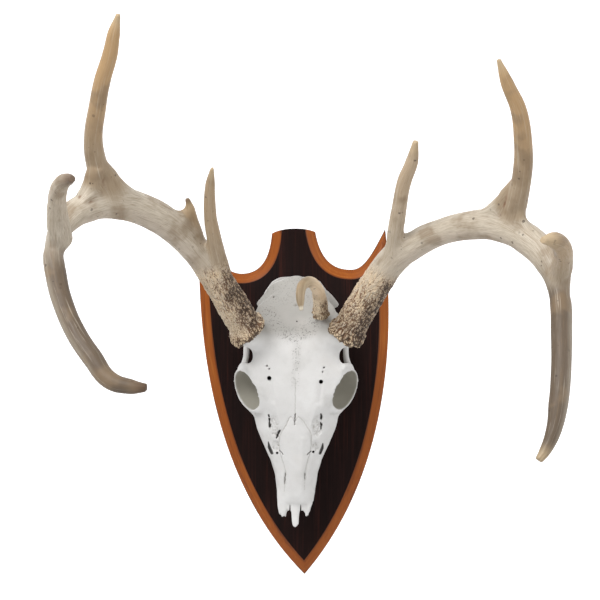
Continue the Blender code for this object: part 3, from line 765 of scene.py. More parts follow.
refine(skull, face_faces)
rows = bone_points(skull)
normals = bone_normals(skull)
front = ramp(normals[:, 1], *FRONT_TURN) * ramp(rows[:, 1], *FRONT_OUT)
wander = np.column_stack([waves(rows, WANDER_SIZE), np.zeros(len(rows)), waves(rows, WANDER_SIZE, 30)])
wandered = rows + wander * WANDER
seam = np.zeros(len(rows))
dip = np.zeros(len(rows))
for line in (MIDLINE, NASAL_LEFT, NASAL_RIGHT):
    gap = line_distance(wandered, line)
    seam = np.maximum(seam, (1 - np.clip(gap / SEAM_WIDTH, 0, 1)) * ramp(rows[:, 2], 42, 18))
    dip += SEAM_DIP * furrow(gap, 0.8)
# Slits and pits, which the paint fills near black as painted shade inside them.
hollow = np.zeros(len(rows))
uneven = waves(rows, 3.5, 14)
for line in SLITS:
    gap = line_distance(wandered, line)
    width = SLIT_WIDTH + SLIT_SPREAD * uneven
    hollow = np.maximum(hollow, ramp(gap, width + 0.6, width - 0.5))
for line in THIN_SLITS:
    gap = line_distance(wandered, line)
    width = THIN_SLIT_WIDTH + THIN_SLIT_SPREAD * uneven
    hollow = np.maximum(hollow, THIN_SLIT_SHARE * ramp(gap, width, 0.1))
for x, z, radius in PITS:
    gap = np.hypot(rows[:, 0] - x, rows[:, 2] - z)
    hollow = np.maximum(hollow, ramp(gap, radius + 0.5, radius - 0.4))
inside_hole = np.zeros(len(rows))
for x, z, radius, _ in ROUND_HOLES:
    gap = np.hypot(rows[:, 0] - x, rows[:, 2] - z)
    inside_hole = np.maximum(inside_hole, ramp(gap, radius + 0.15, radius - 0.3))
for points in LONG_HOLES:
    middle = [(x, z) for x, z, _ in points]
    radius = value_at([(z, radius) for _, z, radius in points], rows[:, 2])
    inside_hole = np.maximum(inside_hole, ramp(line_distance(rows, middle) - radius, 0.15, -0.3))
for line in EYE_GROOVES:
    dip += GROOVE_DIP * furrow(line_distance(rows, line), GROOVE_WIDTH)
for line in FACE_RIDGES:
    dip -= RIDGE_RISE * furrow(line_distance(rows, line), RIDGE_WIDTH)
ragged = np.zeros(len(rows))
for (x, z), (half_x, half_z) in SUNKEN_CHEEKS:
    reach = np.hypot((rows[:, 0] - x) / half_x, (rows[:, 2] - z) / half_z)
    ragged = np.maximum(ragged, ramp(reach, 1.15, 0.6))
nasal_gap = np.minimum(line_distance(rows, NASAL_LEFT[2:]), line_distance(rows, NASAL_RIGHT[2:]))
beside = np.abs(rows[:, 0] - NASAL_MIDDLE) > value_at(NASAL_EDGE, rows[:, 2])
ledge = ramp(nasal_gap, LEDGE_WIDTH, 0) * beside * ramp(rows[:, 2], -92, -80) * ramp(rows[:, 2], -10, -18)
dip += LEDGE_DIP * ledge
lace = 0.5 + layered(rows, LACE)
dip += ragged * (1.3 + 1.2 * lace)
dip += hollow * SLIT_DIP
swell = layered(rows, SWELLS)
rows[:, 1] -= dip * front
rows += normals * swell[:, None] * ramp(rows[:, 1], 0.5, 6)[:, None]
set_points(skull, rows)
print("deepest dip:", round(float((dip * front).max()), 1), "mm;", triangles(skull), "triangles")

# %% [markdown]
# ## The splintered muzzle
# The front of the nose has broken away in thin splinters. Near the end every point slides along the
# muzzle by a jagged noise that changes quickly across it, which turns the round ends of the prongs into
# torn ones.

# %% Tear the prongs
TEAR_SPAN = (-96, -112)
FLAT_SPAN = (-92, -106)
FLAT_LEVEL = 40
FLAT_SHARE = 0.35
JAGS = [(2.1, 2, 1.6), (1.2, 7, 1.2)]

rows = bone_points(skull)
tear = ramp(rows[:, 2], *TEAR_SPAN)
jag = np.column_stack([rows[:, 0], rows[:, 1] * 0.5, np.zeros(len(rows))])
side_prongs = ramp(np.abs(rows[:, 0] + 0.8), 4, 7)
rows[:, 2] += tear * (1 + side_prongs) * layered(jag, JAGS)
rows[:, 1] += ramp(rows[:, 2], *FLAT_SPAN) * (FLAT_LEVEL - rows[:, 1]) * FLAT_SHARE
set_points(skull, rows)
print("muzzle ends at", round(float(rows[:, 2].min()), 1), "mm")

# %% Masks for the skull's paint
rows = bone_points(skull)
coronal = line_distance(rows, CORONAL)
midline = line_distance(rows, MIDLINE)
patches = 0.5 + 0.9 * waves(rows, 9, 33)
pores = np.maximum(ramp(coronal, 11, 1.5), 0.8 * ramp(midline, 6, 0.5) * ramp(rows[:, 2], 8, 34))
pores = np.maximum(pores, 0.4 * ramp(rows[:, 2], 90, 104))
pores = np.clip(pores * (0.35 + patches), 0, 1) * front
# The inside of each eye socket, which the paint makes a darker, greener grey: a tint with painted shade.
inside_orbit = np.zeros(len(rows))
for side in (-1, 1):
    x, out, z = ORBIT_CENTRE
    axis = np.array([side * ORBIT_AXIS[0], ORBIT_AXIS[1], ORBIT_AXIS[2]])
    offset = rows - np.array([side * x, out, z])
    depth = -(offset @ axis)
    spread = np.linalg.norm(offset + depth[:, None] * axis, axis=1)
    inside_orbit = np.maximum(inside_orbit, ramp(depth, -2.6, -0.6) * ramp(spread, 21.6, 20.6))
tooth = ramp(rows[:, 1], 15, 12) * (np.abs(rows[:, 0]) > 12) * ramp(rows[:, 2], -56, -50)
tooth *= ramp(rows[:, 2], 32, 27)
keep_masks(skull, {
    "seam": seam * front,
    # The round and long holes join the slits and pits; the paint fills them all near black as painted
    # shade.
    "hollow": np.maximum(hollow * front, inside_hole * ramp(rows[:, 1], *FRONT_OUT)),
    "pores": pores,
    # Where the sunken cheeks dip deepest, for painted shade.
    "ragged": ragged * ramp(lace, 0.3, 1.1) * front,
    "crown": ramp(rows[:, 2], 62, 76) * front,
    "socket": inside_orbit,
    "tooth": tooth,
    # How far each point lies below its surroundings: the paint darkens these hollows as painted shade, with
    # some dirt.
    "grime_and_shade": np.clip(hollowness(skull, 14) / 0.9, 0, 1),
})
print("masks on the skull:", sorted(mask.name for mask in skull.data.attributes if mask.domain == "POINT"))

# %% [markdown]
# ## The antlers' spines
# An antler is a long tapering beam with points, or tines, growing from it. Its spine is a short list of
# places with a radius at each, and straight struts fill the forks so that they round out as in growth.
# For its grain every point of the surface must know where it is on the beam: how far along, and where
# round it. So each spine is also sampled as a line with two directions across it that never twist.

# %% Antler spines
LEFT_ANTLER = {
    "beam": [(-46, 92, 71, 16), (-61, 111, 98, 16.5), (-75, 129, 121, 15), (-93, 149, 148, 14),
             (-117, 171, 172.5, 15), (-139, 189, 185.3, 15.2), (-164, 209, 192.3, 15.8),
             (-188, 229, 188.5, 14.2), (-208, 249, 174, 12.2), (-216, 271, 148, 9.8),
             (-212, 287, 122, 9.8), (-204, 303, 99, 9.4), (-192, 318, 75, 9.2), (-176, 331, 53, 9.1),
             (-160, 339, 33.8, 8.2), (-142, 343, 28.5, 6.8), (-127.5, 345, 27.5, 4)],
    "brow": [(-66, 131, 113, 9.5), (-73, 149, 139, 8.7), (-78, 171, 164, 7.2), (-80, 194, 191, 5.8),
             (-79, 210, 209, 4.8), (-76.5, 224, 224, 2.2)],
    "nub": [(-94.5, 158, 162, 9), (-100, 171, 188, 5.6), (-102, 178, 198, 2.8)],
    "second": [(-172, 218, 196, 13), (-180, 239, 223, 10), (-182, 261, 247, 8.8), (-176, 286, 273, 8),
               (-169.5, 306, 296, 7.6), (-161.5, 321, 317, 6.9), (-157.5, 331, 333, 5.8),
               (-152.5, 341, 349.5, 2.4)],
    "third": [(-209, 262, 155, 10.5), (-210, 299, 183, 9), (-206, 325, 198, 8), (-200, 343, 204.5, 6.9),
              (-194, 356, 206, 5.5), (-189.5, 365, 206, 4)],
}
LEFT_WEBS = [
    [(-142, 197, 189, 9), (-180, 244, 222, 6)],
    [(-154, 205, 195, 9), (-180, 250, 232, 5)],
    [(-198, 243, 184, 6), (-184, 243, 204, 3.5)],
    [(-118, 172, 177, 12), (-101, 170, 180, 7)],
    [(-192, 232, 190, 11), (-180, 245, 224, 8)],
    [(-86, 141, 137, 9), (-71, 158, 148, 5)],
    [(-215, 270, 150, 8), (-214, 306, 186, 5)],
]
RIGHT_ANTLER = {
    "beam": [(49, 92, 69, 16), (64, 113, 97, 16.2), (78, 133, 120.5, 15.2), (94, 153, 143, 14.7),
             (113, 169, 156, 13.5), (135, 185, 166.3, 12.5), (161, 203, 172, 13.4), (187, 221, 171, 15.6),
             (213, 243, 156, 14.5), (230, 265, 132, 13), (235, 285, 103, 9.8), (234, 303, 72, 9.7),
             (232, 316, 42, 9.4), (228, 327, 12, 8.7), (223, 333, -11, 6.9), (215, 337, -28, 5.2),
             (209.5, 339, -35.5, 4)],
    "brow": [(90, 150, 134, 9.8), (93, 171, 159, 8.6), (96, 193, 187, 7.2), (100, 213, 212, 6.9),
             (106, 228, 229, 6.1), (109, 241, 247.5, 3)],
    "second": [(197, 228, 172, 11), (200.5, 250, 194, 9.9), (203, 271, 219, 8.9), (201, 293, 244, 8.4),
               (195, 313, 269, 7.4), (183.5, 329, 291, 5.9), (174.7, 341, 310.5, 2.4)],
    "third": [(235, 268, 114, 11), (235, 301, 136, 9.7), (231, 331, 148, 8.5), (222, 351, 154, 7.7),
              (210, 363, 154, 3.8)],
}
RIGHT_WEBS = [
    [(166, 208, 174, 9), (201, 245, 195, 7)],
    [(176, 214, 176, 9.5), (202, 262, 213, 5.5)],
    [(208, 243, 163, 7), (201, 250, 188, 4.5)],
    [(112, 166, 155, 7), (95, 172, 160, 5)],
    [(80, 138, 126, 8), (94, 176, 166, 5)],
    [(234, 276, 118, 8), (235, 310, 141, 5)],
]
THIRD_ANTLER = {
    "beam": [(24.2, 89, 88, 6.5), (24, 102, 98, 7.3), (22.5, 118, 106.6, 6.8), (20.5, 132, 113.5, 6.2),
             (12.9, 149, 120.2, 5.5), (6.5, 160, 117, 5), (4.5, 166, 110.7, 4.5), (4.3, 171, 102.3, 4),
             (5.3, 174, 93, 2)],
}
GRAIN_RADIUS = 12
BATCH = 20000


class Spine:
    """A spine sampled about every millimetre, with what its surface needs to know."""

    def __init__(self, points):
        guide = curve_through(points)
        bpy.context.view_layer.update()
        knots = guide.data.splines[0].bezier_points
        line = []
        radii = []
        for index in range(len(knots) - 1):
            before = knots[index]
            after = knots[index + 1]
            steps = max(4, round((after.co - before.co).length / MM))
            handles = (before.handle_right, after.handle_left)
            line.extend(interpolate_bezier(before.co, *handles, after.co, steps + 1)[:-1])
            radii.extend(np.linspace(before.radius, after.radius, steps + 1)[:-1])
        line.append(knots[-1].co.copy())
        radii.append(knots[-1].radius)
        bpy.data.objects.remove(guide)
        world = np.array([tuple(spot) for spot in line]) / MM
        self.spots = np.column_stack([world[:, 0], seat / MM - world[:, 1], world[:, 2]])
        self.radii = np.array(radii)
        runs = np.diff(self.spots, axis=0)
        self.along = np.concatenate([[0], np.cumsum(np.linalg.norm(runs, axis=1))])
        self.length = self.along[-1]
        self.tangents = np.gradient(self.spots, axis=0)
        self.tangents /= np.linalg.norm(self.tangents, axis=1)[:, None]
        side = np.cross(self.tangents[0], (0.3, 0.2, 1.0))
        sides = []
        for tangent in self.tangents:
            side = side - tangent * (side @ tangent)
            side = side / np.linalg.norm(side)
            sides.append(side)
        self.sides = np.array(sides)

    def measure(self, rows):
        """For each point: gap to the tube's surface, distance along, and the two shares across."""
        nearest = np.empty(len(rows), np.int64)
        for start in range(0, len(rows), BATCH):
            part = rows[start:start + BATCH]
            squares = (self.spots ** 2).sum(1)[None, :] - 2 * part @ self.spots.T
            nearest[start:start + BATCH] = squares.argmin(1)
        offset = rows - self.spots[nearest]
        tangent = self.tangents[nearest]
        slip = (offset * tangent).sum(1)
        offset = offset - tangent * slip[:, None]
        reach = np.linalg.norm(offset, axis=1)
        unit = offset / np.maximum(reach, 0.01)[:, None]
        side = self.sides[nearest]
        up = np.cross(tangent, side)
        across = np.column_stack([(unit * side).sum(1), (unit * up).sum(1)])
        return reach - self.radii[nearest], self.along[nearest] + slip, across


print("left beam:", round(Spine(LEFT_ANTLER["beam"]).length), "mm along its spine")

# %% [markdown]
# ## Burrs
# An antler starts in a knobbly collar, the burr. It is two rings of uneven beads round the base, each a
# ball of its own size, with a fixed seed so that every run gives the same collar.

# %% Burr beads
BURRS = {
    "left": ((-48, 94, 73.5), (-0.537, 0.5, 0.684), 15.5, 5.2, 15),
    "right": ((50.5, 94, 71), (0.442, 0.574, 0.688), 15.5, 5.2, 15),
    "third": ((24.2, 90, 90), (-0.03, 0.74, 0.67), 6.4, 3.1, 10),
}


def burr_beads(centre, growth, ring_radius, bead_radius, beads, seed):
    """Two rings of uneven beads round the base of an antler."""
    chance = np.random.default_rng(seed)
    axis = np.array(growth) / np.linalg.norm(growth)
    side = np.cross(axis, (0, 0, 1))
    side /= np.linalg.norm(side)
    up = np.cross(axis, side)
    made = []
    for row, (lift, share) in enumerate([(0, 1), (0.95, 0.66)]):
        for index in range(beads):
            angle = 2 * math.pi * (index + row / 2 + chance.uniform(-0.22, 0.22)) / beads
            size = bead_radius * share * chance.uniform(0.72, 1.12)
            ring = ring_radius + bead_radius * (1 - share) * 0.3 + chance.uniform(-0.8, 0.5)
            offset = (side * math.cos(angle) + up * math.sin(angle)) * ring
            offset = offset + axis * bead_radius * (lift + chance.uniform(-0.2, 0.2))
            spot = np.array(centre) + offset
            radii = (size, size, size * chance.uniform(0.8, 1.3))
            made.append(ball(tuple(spot), radii, segments=16, rings=10))
    return made


print("a burr has", 2 * BURRS["left"][4], "beads")

# %% [markdown]
# ## Pearls, grooves and worn points
# Near the burr the surface is covered in pearls, little lumps in rows with deep cracks between them.
# Higher up they fade into long grooves, and towards the points the antler is rubbed smooth. All of
# this is worked out on each spine's own coordinates, so the rows run along the beam and bend with it.
# Where a point grows from the beam, the fork is smoothed first and the two patterns are mixed by how
# near each spine is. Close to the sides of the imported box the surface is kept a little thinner, so that
# the skin stays inside it. Masks for the paint are kept at the same time: which parts hang down, which
# points are warm, and which ends are dark.

# %% Antler surfaces
FORK_BLEND = 7
FORK_REACH = 15
FORK_ROUNDS = 25
CRACK_SHARPNESS = 3.4
HANGING_FROM = 0.57
HANGING_FULL = 0.70
RELIEF_LEVEL = 0.72
TIP_TRIM = 0.7
BOX_TRIM = 0.3
SIDE_SPAN = (12, 3)
BURR_SPAN = (11, 5)
WORN_SPAN = (8, 70)
TINE_SHIFT = 400


def flow_rows(across, along):
    """Places on an unrolled round bar: two numbers round it and one along it."""
    return np.column_stack([across * GRAIN_RADIUS, along])


def stretched(flow, round_size, long_size):
    """The flow in units of one bump that is round_size wide and long_size long."""
    return flow / np.array([round_size, round_size, long_size])


def relief_on(flow, pearls, pearl_size):
    """Height from 0 to 1 of pearls and grooves, on one spine's flow."""
    wobble = np.column_stack([waves(flow, 9, 1), waves(flow, 9, 2), np.zeros(len(flow))]) * 0.8
    bent = flow + wobble
    near = pearls > 0.01
    stones = np.ones(len(flow))
    one = np.abs(waves(stretched(bent[near], pearl_size, pearl_size * 4.0), 1, 5))
    other = np.abs(waves(stretched(bent[near], pearl_size * 1.4, pearl_size * 2.8), 1, 9))
    stones[near] = np.clip(np.minimum(one, other) * CRACK_SHARPNESS, 0, 1) ** 0.6
    channels = 1 - np.abs(waves(stretched(bent, 4.6, 42), 1, 11)) * 2.2
    channels = 1 - np.clip(channels, 0, 1) ** 3
    fine = 0.5 + 0.5 * waves(stretched(flow, 1.7, 18), 1, 21)
    pearly = stones * (0.55 + 0.45 * channels)
    plainer = 0.55 * channels + 0.3 * fine + 0.15
    return pearls * pearly + (1 - pearls) * plainer


def dress_antler(piece, tubes, base, style):
    """Move the points for pearls and grooves, and keep the masks that the paint needs."""
    rows = bone_points(piece)
    normals = bone_normals(piece)
    beam = Spine(tubes["beam"])
    beam_gap, beam_along, beam_across = beam.measure(rows)
    beam_flow = flow_rows(beam_across, beam_along)
    tine_gap = np.full(len(rows), 1e3)
    tine_flow = beam_flow.copy()
    to_tip = beam.length - beam_along
    warm = np.zeros(len(rows))
    brown = np.zeros(len(rows))
    dark_end = ramp(to_tip, style["dark_ends"].get("beam", 0), -3)
    for name, points in tubes.items():
        if name == "beam":
            continue
        tine = Spine(points)
        gap, along, across = tine.measure(rows)
        closer = gap < tine_gap
        tine_gap = np.minimum(tine_gap, gap)
        tine_flow[closer] = flow_rows(across, along + TINE_SHIFT)[closer]
        inside = closer & (gap < beam_gap)
        to_tip[inside] = (tine.length - along)[inside]
        brownness, warmth = style["tints"][name]
        brown[closer] = brownness
        warm[inside] = warmth * ramp(along / tine.length, 0.15, 0.75)[inside]
        dark_end[inside] = ramp(to_tip, style["dark_ends"].get(name, 0), -3)[inside]
    share = ramp(beam_gap - tine_gap, -FORK_BLEND, FORK_BLEND)
    fork = ramp(np.abs(beam_gap - tine_gap), FORK_REACH, FORK_REACH * 0.4) * ramp(tine_gap, 20, 10)
    rows = rows + fork[:, None] * (relaxed(piece, rows, FORK_ROUNDS) - rows)
    set_points(piece, rows)
    normals = bone_normals(piece)
    room = np.minimum(rows[:, 0] - cad_low.x / MM, cad_high.x / MM - rows[:, 0])
    room = np.minimum(room, (seat - cad_low.y) / MM - rows[:, 1])
    reach = np.linalg.norm(rows - base, axis=1)
    edge = style["pearl_end"] * (1 + 0.2 * waves(beam_flow, 30, 40))
    pearls = ramp(reach, edge, edge * 0.45)
    relief = (1 - share) * relief_on(beam_flow, pearls, style["pearl_size"])
    relief += share * relief_on(tine_flow, pearls, style["pearl_size"])
    worn = ramp(to_tip, *WORN_SPAN)
    fading = ramp(reach, 2.3 * style["pearl_end"], style["pearl_end"])
    grooves = style["groove_depth"] * (0.3 + 0.7 * fading)
    depth = pearls * style["pearl_depth"] + (1 - pearls) * grooves * worn
    near_side = ramp(room, *SIDE_SPAN)
    burr = ramp(beam_along, *BURR_SPAN)
    bend = 0.35 * waves(rows, 30, 50) - BOX_TRIM * near_side - 0.07
    bend *= ramp(to_tip, 20, 60) * ramp(beam_along, 12, 30)
    bend -= TIP_TRIM * ramp(to_tip, 14, 3) * (0.4 + 0.6 * near_side)
    # Painted shade on the faces turned right and down, with darker brown near the burr and a little noise.
    darkness = ramp(normals[:, 0] * 0.8 - normals[:, 2] * 0.3, -0.1, 0.65)
    darkness = darkness + style["burr_dark"] * ramp(reach, 75, 25) + 0.35 * waves(rows, 13, 60)
    darkness = np.maximum(darkness, 0.75 * burr) * (0.3 + 0.7 * pearls)
    rows = rows + normals * ((relief - RELIEF_LEVEL) * depth + bend)[:, None]
    set_points(piece, rows)
    outward = normals[:, 0] * np.sign(base[0])
    # The hanging end of the beam, which the paint makes darker, less so on its outward-facing side.
    hanging = ramp(beam_along / beam.length, HANGING_FROM, HANGING_FULL) * (1 - share)
    keep_flow(piece, "beam_flow", beam_flow)
    keep_flow(piece, "tine_flow", tine_flow)
    keep_masks(piece, {
        "tine_share": share,
        "pearls": pearls,
        "relief": relief,
        "burr": burr,
        "brown": brown * share,
        "tip": ramp(to_tip, style["tip_reach"], 2) * (1 - dark_end),
        "dark_end": dark_end,
        "warm": warm,
        "hanging": hanging * (1 - 0.45 * ramp(outward, 0.3, 0.85)),
        # Faces turned down, which the paint makes lighter on the large antlers as painted bounce light from
        # below.
        "under": ramp(-normals[:, 2], 0.15, 0.8) * (1 - share),
        "shaded": np.clip(darkness, 0, 1),
        # How deep each point lies in a crevice: the paint darkens it, brown with painted shade.
        "grime_and_shade": np.clip(hollowness(piece, 8) / 0.7, 0, 1),
    })
    pearl_share = round(100 * float((pearls > 0.5).mean()))
    print(piece.name, triangles(piece), "triangles, pearls on", pearl_share, "%")


# %% [markdown]
# ## Make the three antlers
# Each antler is fused from its tubes, struts and beads, and then the stretch with pearls is divided once
# more, because a pearl three millimetres wide needs points less than a millimetre apart.

# %% Antlers
LARGE_STYLE = {"voxel": 1.3, "pearl_end": 112, "pearl_depth": 1.7, "pearl_size": 2.0, "groove_depth": 0.75,
               "tip_reach": 20}
LEFT_STYLE = {**LARGE_STYLE, "seed": 3, "burr_dark": 0.0, "pearl_end": 122,
              "dark_ends": {"third": 30, "nub": 7, "beam": 24},
              "tints": {"brow": (0.7, 0.35), "nub": (0.8, 0.4), "second": (0.8, 1.0), "third": (0.0, 0.15)}}
RIGHT_STYLE = {**LARGE_STYLE, "seed": 8, "burr_dark": 0.5, "dark_ends": {},
               "tints": {"brow": (0.25, 0.45), "second": (0.75, 1.0), "third": (0.5, 0.4)}}
THIRD_STYLE = {"voxel": 0.7, "pearl_end": 44, "pearl_depth": 0.8, "pearl_size": 1.5, "groove_depth": 0.25,
               "tip_reach": 5, "seed": 5, "burr_dark": -0.2, "dark_ends": {}}


def make_antler(name, tubes, webs, burr, style):
    """One antler with its burr and its surface."""
    solids = [tube(points) for points in [*tubes.values(), *webs]]
    solids.extend(burr_beads(*burr, style["seed"]))
    antler = joined(name, solids)
    wrap(antler, style["voxel"], 4)
    base = np.array(burr[0])

    def near_burr(centres, normals):
        spots = np.column_stack([centres[:, 0], seat - centres[:, 1], centres[:, 2]]) / MM
        return np.linalg.norm(spots - base, axis=1) < style["pearl_end"] * 0.95

    refine(antler, near_burr)
    dress_antler(antler, tubes, base, style)
    return antler


left_antler = make_antler("left_antler", LEFT_ANTLER, LEFT_WEBS, BURRS["left"], LEFT_STYLE)
right_antler = make_antler("right_antler", RIGHT_ANTLER, RIGHT_WEBS, BURRS["right"], RIGHT_STYLE)
third_antler = make_antler("third_antler", THIRD_ANTLER, [], BURRS["third"], THIRD_STYLE)

# %% [markdown]
# ## The shield's outline
# The board is a heater shield with two scallops cut in its top and a square tab between them. A 2D
# bezier curve with a filled face is the natural start for a flat outline, and its knots are the corners
# and the low points of the scallops. Its width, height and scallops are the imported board's, and its
# horns and lower sides are drawn a little fuller, as in the photograph.

# %% Shield outline
SHIELD_WIDTH = 0.193
SHIELD_RISE = 0.172
SHIELD_DROP = 0.178
SHIELD_LEAN = math.radians(2.1)
SHIELD_SHIFT = 0.002
SHOULDER_RISE = 0.110
CHAMFER_WIDTH = 0.010
CHAMFER_DEPTH = 0.008
SCALLOP_DEPTH = 0.040
TAB_LEFT = 0.0206
TAB_RIGHT = 0.0239
TAB_ARCH = 0.004
LEFT_SCALLOP = 0.052
RIGHT_SCALLOP = 0.060
OUTLINE_STEPS = 28
thickness = -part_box("shield_board")[0].y
half = SHIELD_WIDTH / 2
scallop_floor = SHIELD_RISE - SCALLOP_DEPTH
horn_handle = 0.33 * (SHIELD_RISE - SHOULDER_RISE)


def outline_side(side, lowest, tab_edge, waist):
    """The stretches of one half, from the tab's corner round the scallop and the horn to the tip."""
    run = lowest - tab_edge
    stretches = [
        [(tab_edge, SHIELD_RISE), (tab_edge + 0.12 * run, scallop_floor + 0.2 * SCALLOP_DEPTH),
         (tab_edge + 0.55 * run, scallop_floor), (lowest, scallop_floor)],
        [(lowest, scallop_floor), (lowest + 0.35 * (half - lowest), scallop_floor),
         (half * 0.85, scallop_floor + 0.40 * SCALLOP_DEPTH), (half * 0.99, SHIELD_RISE)],
        [(half * 0.99, SHIELD_RISE), (half * 1.01, SHIELD_RISE - horn_handle),
         (half, SHOULDER_RISE + horn_handle), (half, SHOULDER_RISE)],
        [(half, SHOULDER_RISE), (half * waist, -0.06 * SHIELD_DROP),
         (half * 0.655, -0.618 * SHIELD_DROP), (0, -SHIELD_DROP)],
    ]
    return [[Vector((side * x, y, 0)) for x, y in stretch] for stretch in stretches]


def reversed_stretches(stretches):
    """The same stretches, run the other way."""
    return [stretch[::-1] for stretch in reversed(stretches)]


tab_top = [Vector((-TAB_LEFT, SHIELD_RISE, 0)), Vector((-TAB_LEFT / 2, SHIELD_RISE + TAB_ARCH * 4 / 3, 0)),
           Vector((TAB_RIGHT / 2, SHIELD_RISE + TAB_ARCH * 4 / 3, 0)), Vector((TAB_RIGHT, SHIELD_RISE, 0))]
outline = [tab_top, *outline_side(1, RIGHT_SCALLOP, TAB_RIGHT, 1.0),
           *reversed_stretches(outline_side(-1, LEFT_SCALLOP, TAB_LEFT, 0.98))]
print("outline of", len(outline), "stretches,", round(thickness / MM, 1), "mm thick")

# %% [markdown]
# ## Chamfer the board
# The filled curve becomes a board, and four bars slice off its front edges, all but the tab's top. Each
# bar is a three-sided section swept along one side of the outline, and it runs on past the corners, so
# that two chamfers meet in a sharp line and the narrow horns become blades. A last tiny bevel takes the
# sharpness off every edge, as sandpaper does.

# %% Board
CUTTER_REACH = 0.003
CUTTER_OVERRUN = 0.02
SLOT_FACE, SLOT_CHAMFER, SLOT_EDGE = 0, 1, 2
FACE_RISE = 0.95
CHAMFER_RISE = 0.5
NEAR_POINTS = 0.00002
SOFT_EDGE = 0.0006
SOFT_ANGLE = math.radians(28)
top = thickness / 2


def straight(start, end):
    """A straight stretch."""
    return [start, start.lerp(end, 1 / 3), start.lerp(end, 2 / 3), end]


def flat_curve(stretches, closed):
    """A flat bezier curve along the stretches."""
    bpy.ops.object.select_all(action="DESELECT")
    bpy.ops.curve.primitive_bezier_curve_add()
    drawn = bpy.context.object
    drawn.data.dimensions = "2D"
    drawn.data.resolution_u = OUTLINE_STEPS
    spline = drawn.data.splines[0]
    spline.use_cyclic_u = closed
    spots = [stretch[0] for stretch in stretches] + ([] if closed else [stretches[-1][3]])
    spline.bezier_points.add(len(spots) - 2)
    for index, (knot, spot) in enumerate(zip(spline.bezier_points, spots)):
        knot.handle_left_type = "FREE"
        knot.handle_right_type = "FREE"
        knot.co = spot
        knot.handle_left = stretches[index - 1][2]
        knot.handle_right = stretches[index % len(stretches)][1]
    return drawn


def chamfer_bar(stretches):
    """The bar that slices off the front edge along the stretches."""
    rise = CUTTER_REACH * CHAMFER_DEPTH / CHAMFER_WIDTH
    corners = [Vector((-CUTTER_REACH, top - CHAMFER_DEPTH - rise, 0)),
               Vector((CHAMFER_WIDTH + CUTTER_REACH, top + rise, 0)),
               Vector((-CUTTER_REACH, top + rise, 0))]
    section = flat_curve([straight(a, b) for a, b in zip(corners, corners[1:] + corners[:1])], True)
    section.data.resolution_u = 1
    first = stretches[0]
    last = stretches[-1]
    lead = first[0] - (first[1] - first[0]).normalized() * CUTTER_OVERRUN
    trail = last[3] + (last[3] - last[2]).normalized() * CUTTER_OVERRUN
    bar = flat_curve([straight(lead, first[0]), *stretches, straight(last[3], trail)], False)
    bar.data.bevel_mode = "OBJECT"
    bar.data.bevel_object = section
    bar.data.use_fill_caps = True
    bar = as_mesh(bar)
    bpy.data.objects.remove(section)
    return bar


board = flat_curve(outline, True)
board.name = "stained_shield"
board.data.fill_mode = "BOTH"
board.data.extrude = top
board = as_mesh(board)
for first in (1, 3, 5, 7):
    carve(board, chamfer_bar(outline[first:first + 2]))
board.data.materials.clear()
for _ in range(3):
    board.data.materials.append(None)
for face in board.data.polygons:
    rise = face.normal.z
    tilted = SLOT_CHAMFER if rise > CHAMFER_RISE else SLOT_EDGE
    face.material_index = SLOT_FACE if rise > FACE_RISE else tilted
only(board)
bpy.ops.object.mode_set(mode="EDIT")
bpy.ops.mesh.select_all(action="SELECT")
bpy.ops.mesh.remove_doubles(threshold=NEAR_POINTS)
bpy.ops.mesh.dissolve_limited(angle_limit=math.radians(0.5), delimit={"NORMAL", "MATERIAL"})
bpy.ops.object.mode_set(mode="OBJECT")
print("board has", len(board.data.polygons), "faces,",
      sum(face.material_index == SLOT_CHAMFER for face in board.data.polygons), "of them on the chamfer")

# %% Measure along and across the chamfer, soften the edges, and stand the board up
rim_line = []
for stretch in outline[1:]:
    rim_line.extend(tuple(spot)[:2] for spot in interpolate_bezier(*stretch, 60)[:-1])
rim_line = np.array(rim_line) / MM
rim_steps = np.linalg.norm(np.roll(rim_line, -1, axis=0) - rim_line, axis=1)
rim_along = np.concatenate([[0], np.cumsum(rim_steps)[:-1]])
only(board)
soften = board.modifiers.new("Soften", "BEVEL")
soften.width = SOFT_EDGE
soften.segments = 2
soften.limit_method = "ANGLE"
soften.angle_limit = SOFT_ANGLE
bpy.ops.object.modifier_apply(modifier=soften.name)
spots = np.array([tuple(point.co)[:2] for point in board.data.vertices]) / MM
gaps = np.linalg.norm(spots[:, None, :] - rim_line[None, :, :], axis=2)
nearest = gaps.argmin(1)
keep_flow(board, "rim", np.column_stack([rim_along[nearest], gaps.min(1), np.zeros(len(spots))]))
upright = Matrix.Rotation(math.radians(90), 4, "X")
to_wall = Matrix.Translation((0, -thickness / 2, 0))
lean = Matrix.Rotation(-SHIELD_LEAN, 4, "Y")
board.data.transform(Matrix.Translation((SHIELD_SHIFT, 0, 0)) @ lean @ to_wall @ upright)
print("board:", triangles(board), "triangles")

# %% [markdown]
# ## Building materials from small parts
# Every finish here is built from nodes. Two short helpers keep that readable: one adds a node and
# connects or sets its inputs, and the other starts a node group with named inputs and outputs. Effects
# that bone, antler and wood share are groups: grain that runs one way, specks, and a colour that is
# picked between three tones.

# %% Node helpers
def feed(tree, value, socket):
    """Link a socket to a socket, or set a plain value."""
    if isinstance(value, bpy.types.NodeSocket):
        tree.links.new(value, socket)
    elif socket.type == "RGBA" and len(value) == 3:
        socket.default_value = (*value, 1)
    else:
        socket.default_value = value


def add(tree, kind, settings=None, **inputs):
    """Add a node. Input names are given with _ for a space."""
    made = tree.nodes.new(kind)
    for name, value in (settings or {}).items():
        setattr(made, name, value)
    for name, value in inputs.items():
        feed(tree, value, made.inputs[name.replace("_", " ")])
    return made


